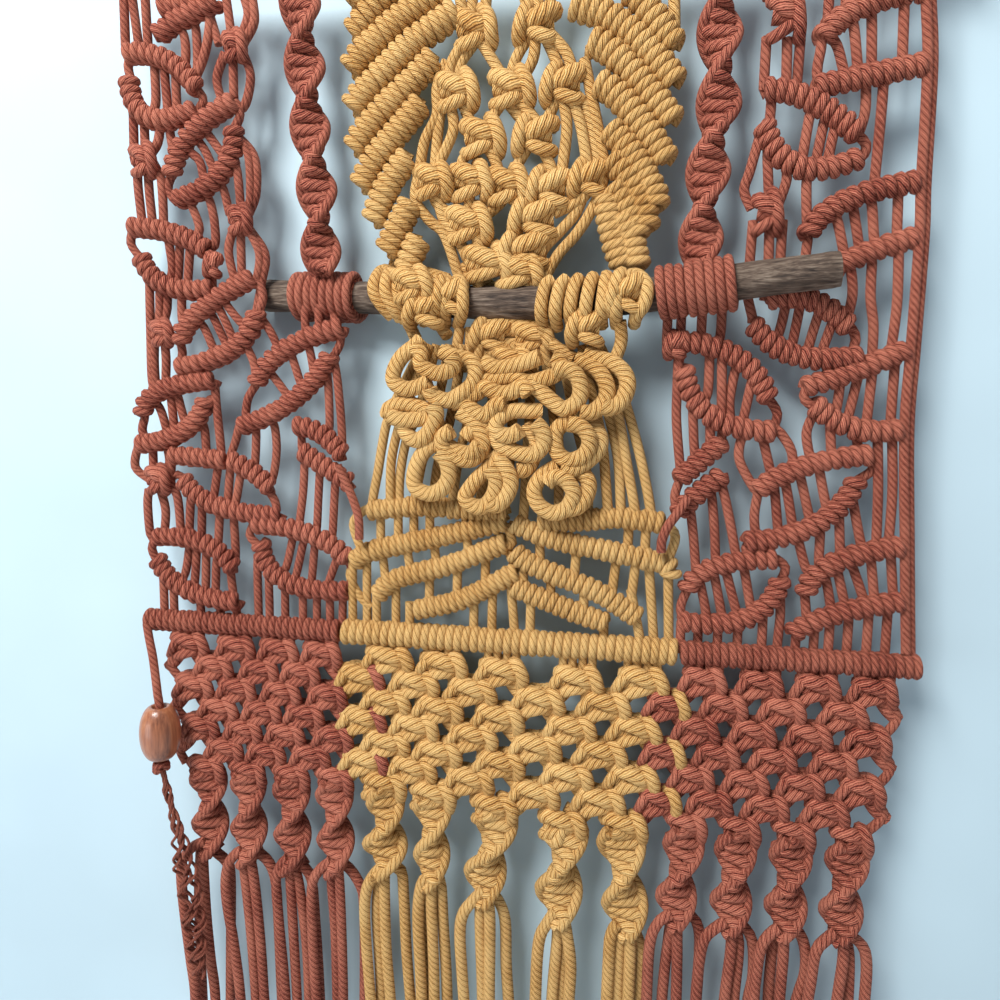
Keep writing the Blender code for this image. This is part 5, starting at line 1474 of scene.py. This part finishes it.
def fine_route(route: Route, step: float = 1.5) -> Route:
    """Give a seen route as close points along its straight stretches."""
    points: list[Pair] = []
    for here, after in zip(route, route[1:]):
        cuts = max(1, round(math.dist(here, after) / step))
        for cut in range(cuts):
            share = cut / cuts
            x = here[0] + share * (after[0] - here[0])
            points.append((x, here[1] + share * (after[1] - here[1])))
    return tuple(points) + (route[-1],)


STRAIGHT_BARS = (
    fine_route(((-MAIN_HALF, HEADING_DROP), (MAIN_HALF, HEADING_DROP))),
    fine_route(((-MAIN_HALF, MAIN_DROP), (MAIN_HALF, MAIN_DROP))),
)


# A bar's point counts where it lies ahead of the strand's end, or this close to it.
AHEAD_SHARE = 0.55
CLOSE_BY = 3.5
OUT_OF_REACH = 1e6


def onto_bars(route: Route, bars: list[Route], limit: float = 15.0) -> Route:
    """Carry both ends of a strand on to the nearest bar ahead of it, so that none ends in the open.

    Args:
        route: The strand's (x, drop) points.
        bars: The bars' middle lines.
        limit: How far a bar may be.

    Returns:
        The route with its ends inside the bars.
    """
    points = [np.array(point, float) for point in route]
    places = np.vstack([np.array(bar, float) for bar in bars])
    for tip, before in ((points[0], points[1]), (points[-1], points[-2])):
        outward = (tip - before) / max(1e-6, float(np.linalg.norm(tip - before)))
        offsets = places - tip
        far = np.linalg.norm(offsets, axis=1)
        ahead = offsets @ outward
        cost = np.where((ahead > AHEAD_SHARE * far) | (far < CLOSE_BY), far, OUT_OF_REACH)
        best = int(np.argmin(cost))
        if cost[best] < limit:
            points.insert(0, places[best]) if tip is points[0] else points.append(places[best])
    return tuple((float(x), float(drop)) for x, drop in points)


@dataclass
class TopAndMainBars:
    """The plain heading bar and the three-part hitched main bar."""

    shop: Workshop
    inset: float = 0.4

    def bar(self, name: str, cord: Cord, span: Pair, drop: float, winding: Winding) -> None:
        """Wind one straight stretch of bar."""
        ropes = RopeSet(name + "_wraps", cord)
        inset = self.inset * winding.rope
        ends = [true_spot(span[0] + inset, drop), true_spot(span[1] - inset, drop)]
        ropes.wind(Track(np.array(ends)), winding)
        self.shop.finish(ropes, name)

    def build(self) -> None:
        """Build the heading and the main bar."""
        self.bar("heading", Cord.RUST, (-MAIN_HALF, MAIN_HALF), HEADING_DROP, HEADING_WRAPS)
        self.bar("main_bar_left", Cord.RUST, (-MAIN_HALF, -MAIN_GOLD_HALF), MAIN_DROP, RUST_BAR_WRAPS)
        self.bar("main_bar_gold", Cord.GOLD, (-MAIN_GOLD_HALF, MAIN_GOLD_HALF), MAIN_DROP, GOLD_BAR_WRAPS)
        self.bar("main_bar_right", Cord.RUST, (MAIN_GOLD_HALF, MAIN_HALF), MAIN_DROP, RUST_BAR_WRAPS)


@dataclass
class LeafPanel:
    """One rust side panel: curved hitched bars, the strands between them and square knots."""

    shop: Workshop
    node: str
    leaves: tuple[Bow, ...]
    links: tuple[Route, ...]
    ties: tuple[Tie, ...]
    crossing: Route
    edge: Route = ()
    crossing_y: float = -7.5
    tie_thick: float = 0.9

    def build(self) -> None:
        """Build the panel's bars and its strands as two pieces."""
        bars = RopeSet(self.node + "_bars", Cord.RUST, seed=11)
        for leaf in self.leaves:
            bars.wind(track_of(leaf.route(), leaf.y), LEAF_WRAPS)
        self.shop.finish(bars, self.node)
        strands = RopeSet(self.node + "_strands", Cord.RUST, seed=12)
        middles = [leaf.route(41) for leaf in self.leaves] + list(STRAIGHT_BARS)
        strands.lay_all((onto_bars(route, middles) for route in self.links), RUST_ROPE, 1.6, 3.0)
        strands.lay(self.crossing, RUST_ROPE, self.crossing_y)
        if self.edge:
            strands.lay(self.edge, RUST_ROPE, 0.0)
            strands.lay(tuple((x + 2.0, drop) for x, drop in self.edge), RUST_ROPE, 2.0)
        for knot in self.ties:
            strands.tie(knot, self.tie_thick, LONE_PASSES)
        self.shop.finish(strands, self.node)


@dataclass
class Bird:
    """The mustard bird: ribbed wings, knotted belly, feet, curls, tail strands and chevron bars."""

    shop: Workshop
    node: str = "bird"
    tighten: float = 0.1
    belly_wider: float = 1.5
    belly_taller: float = 1.12
    belly_thick: float = 1.06
    foot_thick: float = 1.02
    behind_stick: float = 11.5

    def wings(self) -> None:
        """Wind the wing ribs."""
        ropes = RopeSet("bird_wings", Cord.GOLD, seed=21)
        for rib in LEFT_RIBS + RIGHT_RIBS:
            ropes.wind(track_of(rib), RIB_WRAPS)
        ropes.lay_all(WING_TOPS, GOLD_ROPE, 1.0, 1.0)
        self.shop.finish(ropes, self.node)

    def belly(self) -> None:
        """Tie the belly's knots and the strands between them."""
        ropes = RopeSet("bird_belly", Cord.GOLD, seed=22)
        for knot in BELLY_TIES:
            width, height = self.belly_wider * knot.width, self.belly_taller * knot.height
            ropes.tie(knot._replace(width=width, height=height), self.belly_thick, LONE_PASSES)
        ropes.lay_all(BELLY_LINKS, GOLD_ROPE, 0.0, 1.5)
        ropes.lay_all(BELLY_EDGES, GOLD_ROPE, 1.0, 1.0)
        self.shop.finish(ropes, self.node)

    def feet(self) -> None:
        """Hitch the feet over the stick and lead the breast strands behind it."""
        ropes = RopeSet("bird_feet", Cord.GOLD, seed=23)
        for routes, shift in ((FEET_LEFT, 0.0), (FEET_RIGHT, 0.0), (FEET_UPPER, 3.0)):
            for number, route in enumerate(routes):
                points = []
                for x, drop in route:
                    points.append(EYE.spot(x, drop, self.foot_depth(x, drop, shift) - (number % 2)))
                ropes.add(smooth_line(np.array(points), 1.8), FOOT_ROPE)
        for knot in FOOT_TIES:
            ropes.tie(knot, self.foot_thick, LONE_PASSES)
        for route in BREAST_BACK:
            points = []
            for x, drop in route:
                points.append(EYE.spot(x, drop, self.behind_stick if 148 < drop < 168 else 3.0))
            ropes.add(smooth_line(np.array(points), 2.0), GOLD_ROPE)
        self.shop.finish(ropes, self.node)

    @staticmethod
    def foot_depth(x: float, drop: float, shift: float) -> float:
        """Give the depth of cord that lies round the front of the stick at (x, drop)."""
        middle, depth = stick_at(x)
        reach = STICK_RADIUS + FOOT_ROPE
        off = abs(drop - middle) / (reach + 1.0)
        bulge = math.sqrt(max(0.0, 1.0 - off * off))
        return depth - reach * bulge - 2.0 * min(1.0, 2.0 * max(0.0, off - 1.0)) + shift

    def curls(self) -> None:
        """Lay the loose looped ropes in front of the tail."""
        ropes = RopeSet("bird_curls", Cord.GOLD, sides=10, seed=24)
        for curl in CURLS:
            middle_x = sum(x for x, _ in curl.route) / len(curl.route)
            middle_drop = sum(drop for _, drop in curl.route) / len(curl.route)
            route = tuple(
                (x + self.tighten * (middle_x - x), drop + self.tighten * (middle_drop - drop))
                for x, drop in curl.route
            )
            ropes.lay(route, CURL_ROPE, -curl.front, curl.rise, 1.5)
        self.shop.finish(ropes, self.node)

    def tail(self) -> None:
        """Lay the tail strands and wind the chevron bars."""
        ropes = RopeSet("bird_tail", Cord.GOLD, seed=25)
        chevrons = [fine_route(route) for route in CHEVRONS]
        whole = [((route[0][0] * 0.8, 176),) + route for route in TAIL_STRANDS]
        ropes.lay_all((onto_bars(route, chevrons, 9.0) for route in whole), GOLD_ROPE - 0.2, 1.2, -1.0)
        ropes.lay_all(TAIL_TOP, GOLD_ROPE, 1.5, 1.5)
        for knot in TAIL_TIES:
            ropes.tie(knot, 1.0, LONE_PASSES)
        for route in CHEVRONS:
            ropes.wind(track_of(route), CHEVRON_WRAPS)
        chevrons += STRAIGHT_BARS
        links = [onto_bars(route, chevrons, 12.0) for route in CHEVRON_LINKS]
        ropes.lay_all(links, GOLD_ROPE - 0.3, 0.6, 1.8)
        self.shop.finish(ropes, self.node)

    def build(self) -> None:
        """Build the bird's five pieces."""
        self.wings()
        self.belly()
        self.feet()
        self.curls()
        self.tail()


def stick_at(x: float) -> tuple[float, float]:
    """Read the drop and y of the stick's middle line at x."""
    places = [point.x for point in STICK_LINE]
    drop = float(np.interp(x, places, [point.drop for point in STICK_LINE]))
    return drop, float(np.interp(x, places, [point.y for point in STICK_LINE]))


@dataclass
class Perch:
    """The weathered stick, the two coils wound on it and the two spirals that hang into them."""

    shop: Workshop
    sides: int = 28
    rings: int = 150

    def stick(self) -> None:
        """Build the stick with uneven bark and cut ends."""
        line = smooth_line(np.array([true_spot(*point) for point in STICK_LINE]), 1.0)
        track = Track(line)
        random = np.random.default_rng(5)
        phases = random.uniform(0, math.tau, 6)
        builder = bmesh.new()
        reach = np.linspace(0, track.reach[-1], self.rings)
        middle, front, side = track.at(reach)
        loops = []
        for i in range(self.rings):
            share = i / (self.rings - 1)
            loop = []
            for j in range(self.sides):
                angle = math.tau * j / self.sides
                bark = 0.03 * math.sin(3 * angle + 9 * share + phases[0])
                bark += 0.022 * math.sin(7 * angle - 14 * share + phases[1])
                bark += 0.02 * math.sin(31 * share + 2 * angle + phases[2])
                bark += 0.018 * math.sin(11 * angle + 5 * math.sin(23 * share) + phases[3])
                end = min(share, 1 - share) * self.rings
                radius = STICK_RADIUS * (1.0 + bark) * (0.93 + 0.07 * min(1.0, end / 2))
                offset = front[i] * math.cos(angle) + side[i] * math.sin(angle)
                loop.append(builder.verts.new(middle[i] + offset * radius * MM))
            loops.append(loop)
        skin(builder, loops)
        for loop, spot in ((loops[0], middle[0]), (loops[-1], middle[-1])):
            inner = [builder.verts.new(Vector(spot) + (vert.co - Vector(spot)) * 0.5) for vert in loop]
            tip = builder.verts.new(Vector(spot))
            for j in range(self.sides):
                k = (j + 1) % self.sides
                builder.faces.new((loop[j], loop[k], inner[k], inner[j])).material_index = 1
                builder.faces.new((inner[j], inner[k], tip)).material_index = 1
        thing = solid_object("stick", builder, 50.0, BarkFinish().make(), CUT_WOOD.make())
        self.shop.join(thing, "stick_wood", "perch_stick")

    def coil(self, node: str, span: Pair) -> None:
        """Wind a rust coil round the stick between two x places."""
        ropes = RopeSet(node + "_cord", Cord.RUST, seed=31)
        points = []
        for x in np.linspace(span[0] + COIL_ROPE, span[1] - COIL_ROPE, 9):
            drop, y = stick_at(x)
            points.append(true_spot(x, drop, y))
        track = Track(np.array(points))
        ropes.wind(track, Winding(STICK_RADIUS + 2 * COIL_ROPE + 0.35, COIL_ROPE, 2 * COIL_ROPE), 20)
        self.shop.finish(ropes, node)

    def spiral(self, node: str, line: SpiralLine) -> None:
        """Knot one long spiral from the heading down to its coil."""
        ropes = RopeSet(node + "_cord", Cord.RUST, seed=32)
        track = track_of(line.route)
        drops = -track.points[:, 2] / MM
        turn = (drops - line.first_bulge) / line.bulge_pitch * math.pi
        width = np.full(len(drops), SPIRAL_WIDTH)
        ropes.spiral(track, width, SPIRAL_DEPTH, turn, RUST_ROPE, SPIRAL_PITCH)
        self.shop.finish(ropes, node)

    def build(self) -> None:
        """Build the stick, its coils and the spirals."""
        self.stick()
        self.coil("left_coil", LEFT_COIL_SPAN)
        self.coil("right_coil", RIGHT_COIL_SPAN)
        self.spiral("left_spiral", LEFT_SPIRAL)
        self.spiral("right_spiral", RIGHT_SPIRAL)


@dataclass
class Net:
    """The net of alternating square knots, rust at its sides and mustard in the middle."""

    shop: Workshop
    hangers: tuple[float, ...] = (-7, -2.5, 2.5, 7)
    hang_drop: float = 321.0
    edge_bulge: float = 10.5
    edge_foot: float = 165.0
    crescent_thick: float = 0.95
    crescent_y: float = -0.6

    @staticmethod
    def row_drop(row: float, x: float) -> float:
        """Give the drop of a row of knots at x, with the net's sag."""
        places = [point.x for point in NET_SAG]
        top = np.interp(x, places, [point.top for point in NET_SAG])
        return float(top + row * np.interp(x, places, [point.pitch for point in NET_SAG]))

    def block(self, node: str, cord: Cord, rows: list[tuple[float, ...]]) -> None:
        """Tie one colour's knots.

        Args:
            node: The CAD node that the block stands for.
            cord: Its colour.
            rows: The x of the knots in each row.
        """
        ropes = RopeSet(node + "_knots", cord, seed=41)
        size = NET_KNOTS[cord]
        for row, places in enumerate(rows):
            for x in places:
                mixed = row % 2 == 1 and node != "left_net" and x == places[0]
                knot = Tie(x, self.row_drop(row, x), size.width, NET_KNOT_HEIGHT)
                ropes.tie(knot, size.thick, PASSES_BUT_CRESCENT if mixed else KNOT_PASSES)
        for x in rows[0]:
            for side in self.hangers:
                ropes.lay(((x + side, self.hang_drop), (x + side, self.row_drop(0, x) + 1)), RUST_ROPE)
        self.shop.finish(ropes, node)

    def edge_loops(self, node: str, column: tuple[float, ...], side: float) -> None:
        """Lay the rust loops that run down the net's outer edge from knot to knot."""
        ropes = RopeSet(node + "_edge", Cord.RUST, seed=42)
        for row, (x, after) in enumerate(zip(column, column[1:])):
            top, foot = self.row_drop(2 * row, x), self.row_drop(2 * row + 2, after)
            out = side * self.edge_bulge
            route = (
                (x + side * 6, top + 3),
                (x + out, top + 9),
                ((x + after) / 2 + out, (top + foot) / 2 + 2),
                (after + side * 6, foot - 3),
            )
            ropes.lay(route, RUST_ROPE, 0.5)
        self.shop.finish(ropes, node)

    def meeting(self) -> None:
        """Lay the crescents in the other colour on the knots where the two colours meet."""
        rust_knots = [row.right[0] for row in NET_ROWS]
        gold_knots = [row.centre[0] for row in NET_ROWS]
        for node, cord, under, places in (
            ("centre_net", Cord.GOLD, Cord.RUST, rust_knots),
            ("left_net", Cord.RUST, Cord.GOLD, gold_knots),
        ):
            ropes = RopeSet(node + "_crescents", cord, seed=43)
            width = NET_KNOTS[under].width
            for row in (1, 3, 5):
                x = places[row]
                knot = Tie(x, self.row_drop(row, x), width, NET_KNOT_HEIGHT, False, self.crescent_y)
                ropes.tie(knot, self.crescent_thick, (CRESCENT,))
            self.shop.finish(ropes, node)

    def build(self) -> None:
        """Build the three blocks, their edges and the mixed knots."""
        self.block("left_net", Cord.RUST, [row.left for row in NET_ROWS])
        self.block("centre_net", Cord.GOLD, [row.centre for row in NET_ROWS])
        self.block("right_net", Cord.RUST, [row.right for row in NET_ROWS])
        outer = NET_ROWS[::2]
        self.edge_loops("left_net", tuple(row.left[0] for row in outer) + (-self.edge_foot,), -1.0)
        self.edge_loops("right_net", tuple(row.right[-1] for row in outer) + (self.edge_foot,), 1.0)
        self.meeting()


@dataclass
class SinnetBank:
    """The thirteen spiral sinnets under the net, each with its fringe strands."""

    shop: Workshop
    depth: float = 9.6
    gold_indices: range = range(5, 10)
    rust_extra: float = 0.1
    swell: float = 0.4

    def one(self, index: int, row: SinnetRow, top_drop: float) -> None:
        """Knot one sinnet and hang its strands."""
        gold = index in self.gold_indices
        cord = Cord.GOLD if gold else Cord.RUST
        ropes = RopeSet(f"sinnet_{index:02d}_cord", cord, seed=50 + index)
        rope = GOLD_ROPE if gold else RUST_ROPE + self.rust_extra
        size = NET_KNOTS[cord]
        ropes.tie(Tie(row.top_x, top_drop, size.width, NET_KNOT_HEIGHT), size.thick, LONE_PASSES)
        route = (
            (row.top_x, top_drop),
            (row.bulge_x, row.bulge_drop),
            (row.low_x, row.low_drop),
            (row.low_x + 0.5, row.end_drop),
        )
        track = track_of(route)
        drops = -track.points[:, 2] / MM
        bulge_pitch = row.low_drop - row.bulge_drop
        turn = (drops - row.bulge_drop) / bulge_pitch * math.pi
        width = np.interp(drops, (row.bulge_drop, row.low_drop), (row.width, row.low_width))
        ropes.spiral(track, width, self.depth, turn, rope, SINNET_PITCH)
        for strand in FRINGE[index - 1]:
            ropes.lay(strand.route, rope + self.swell, strand.y, step=3.5)
        self.shop.finish(ropes, f"sinnet_{index:02d}")

    def build(self) -> None:
        """Build every sinnet."""
        for index, row in enumerate(SINNETS, start=1):
            self.one(index, row, Net.row_drop(6, row.top_x))


@dataclass
class BeadDrop:
    """The polished bead on its cord, the knot under it and the tail that has come apart."""

    shop: Workshop
    sides: int = 40
    cuts: int = 18
    strands: int = 7
    yarn: float = 0.74
    knot_turns: float = 1.8
    knot_reach: float = 2.6
    mouth_depth: float = 0.8

    def bead(self) -> None:
        """Turn the long bead with its through hole."""
        middle = BEAD_TOP + BEAD_LENGTH / 2
        profile = []
        for i in range(self.cuts + 1):
            angle = math.pi * (0.5 - i / self.cuts)
            height = math.sin(angle)
            bulge = math.cos(angle) ** 1.05
            radius = BEAD_MOUTH + (BEAD_RADIUS - BEAD_MOUTH) * bulge
            profile.append((radius, middle - height * BEAD_LENGTH / 2))
        profile.append((BEAD_HOLE, middle + BEAD_LENGTH / 2 - self.mouth_depth))
        profile.append((BEAD_HOLE, middle - BEAD_LENGTH / 2 + self.mouth_depth))
        builder = bmesh.new()
        loops = []
        for radius, drop in profile:
            loop = []
            for j in range(self.sides):
                angle = math.tau * j / self.sides
                x, y = BEAD_X + radius * math.cos(angle), BEAD_Y + radius * math.sin(angle)
                loop.append(builder.verts.new(true_spot(x, drop, y)))
            loops.append(loop)
        skin(builder, loops + loops[:1])
        thing = solid_object("bead_body", builder, 55.0, BeadFinish().make())
        self.shop.join(thing, "bead_wood", "bead")

    def cord(self) -> None:
        """Thread the cord, knot it below the bead and let its tail come apart in waves."""
        ropes = RopeSet("bead_cord_rope", Cord.RUST, seed=61)
        line = smooth_line(np.array([true_spot(p.x, p.drop, p.y) for p in BEAD_CORD]), 2.0)
        ropes.add(line, BEAD_CORD[0].radius)
        knot = [
            (self.knot_reach * math.cos(angle), math.sin(2 * angle) * 1.4, self.knot_reach * math.sin(angle))
            for angle in np.linspace(0, self.knot_turns * math.tau, 16)
        ]
        spots = [
            true_spot(BEAD_X + x, KNOT_DROP + fall + 0.2 * i - 1.5, BEAD_Y + y)
            for i, (x, fall, y) in enumerate(knot)
        ]
        ropes.add(smooth_line(np.array(spots), 1.2), 1.9)
        line = smooth_line(np.array([true_spot(p.x, p.drop, p.y) for p in BEAD_TAIL]), 1.5)
        shares = np.linspace(0, 1, len(BEAD_TAIL))
        t = np.linspace(0, 1, len(line))
        spread = np.interp(t, shares, [p.radius for p in BEAD_TAIL])
        for number in range(self.strands):
            phase = math.tau * number / self.strands
            zigzag = (6.5 + 0.9 * (number % 3)) * math.tau * t + phase
            sweep = math.sin(phase) * np.sin(math.pi * t) + 0.6 * np.sin(zigzag)
            offset = np.stack((sweep * spread * MM, 0.4 * np.cos(zigzag) * spread * MM, 0 * t), axis=1)
            cut = len(line) - ropes.random.integers(0, 7)
            ropes.add((line + offset)[:cut], self.yarn)
        self.shop.finish(ropes, "bead_cord")

    def build(self) -> None:
        """Build the bead and its cord."""
        self.bead()
        self.cord()


@dataclass
class Studio:
    """The pale wall and floor, the soft lights and the camera."""

    wall_y: float = 0.0235
    floor_z: float = -0.72
    reach: float = 1.3
    wall_top: float = 0.6
    floor_front: float = -2.2
    aim: Triple = (0.0, 0.0, -0.25)

    def plane(self, name: str, corners: tuple[Triple, ...], finish: TwoToneFinish) -> None:
        """Make one flat staged surface."""
        mesh = bpy.data.meshes.new(name)
        mesh.from_pydata(corners, [], [(0, 1, 2, 3)])
        mesh.materials.append(finish.make())
        add_object(name, mesh)

    def light(self, name: str, place: Triple, size: float, power: float, colour: Triple) -> None:
        """Hang one soft square light that faces the middle of the hanging."""
        data = bpy.data.lights.new(name, "AREA")
        data.size = size
        data.energy = power
        data.color = colour
        thing = add_object(name, data)
        spot = Vector(place)
        thing.location = spot
        thing.rotation_euler = (Vector(self.aim) - spot).to_track_quat("-Z", "Y").to_euler()

    def build(self) -> None:
        """Build the set, the lights and the camera."""
        x, y, z = self.reach, self.wall_y, self.floor_z
        wall = ((-x, y, z), (x, y, z), (x, y, self.wall_top), (-x, y, self.wall_top))
        floor = ((-x, self.floor_front, z), (x, self.floor_front, z), (x, y, z), (-x, y, z))
        self.plane("wall", wall, paint("wall_paint", (0.545, 0.705, 0.79)))
        self.plane("floor", floor, paint("floor_paint", (0.72, 0.74, 0.76)))
        self.light("key", (-0.35, -0.75, 0.55), 0.45, 17.0, (1.0, 0.985, 0.96))
        self.light("fill", (-0.8, -0.9, -0.55), 0.7, 4.0, (0.95, 0.98, 1.0))
        world = bpy.data.worlds.new("soft_room")
        world.use_nodes = True
        background = world.node_tree.nodes["Background"]
        background.inputs["Color"].default_value = (0.86, 0.92, 1.0, 1.0)
        background.inputs["Strength"].default_value = 0.34
        bpy.context.scene.world = world
        data = bpy.data.cameras.new("eye")
        data.lens = EYE.lens
        data.sensor_width = EYE.sensor
        data.clip_start = 0.01
        camera = add_object("eye", data)
        camera.matrix_world = EYE.matrix()
        bpy.context.scene.camera = camera
        bpy.context.scene.view_settings.view_transform = "Standard"


def main() -> None:
    """Build every sub-assembly in order."""
    logging.basicConfig(level=logging.INFO, format="%(message)s")
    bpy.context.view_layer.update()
    shop = Workshop()
    parts = (
        TopAndMainBars(shop),
        LeafPanel(shop, "left_leaves", LEFT_LEAVES, LEFT_LINKS, LEFT_TIES, LEFT_CROSSING),
        LeafPanel(shop, "right_leaves", RIGHT_LEAVES, RIGHT_LINKS, RIGHT_TIES, RIGHT_CROSSING, RIGHT_EDGE),
        Bird(shop),
        Perch(shop),
        Net(shop),
        SinnetBank(shop),
        BeadDrop(shop),
        Studio(),
    )
    for part in parts:
        part.build()
    LOG.info("%d pieces, %d triangles", shop.count, shop.triangles)


if __name__ == "__main__":
    main()
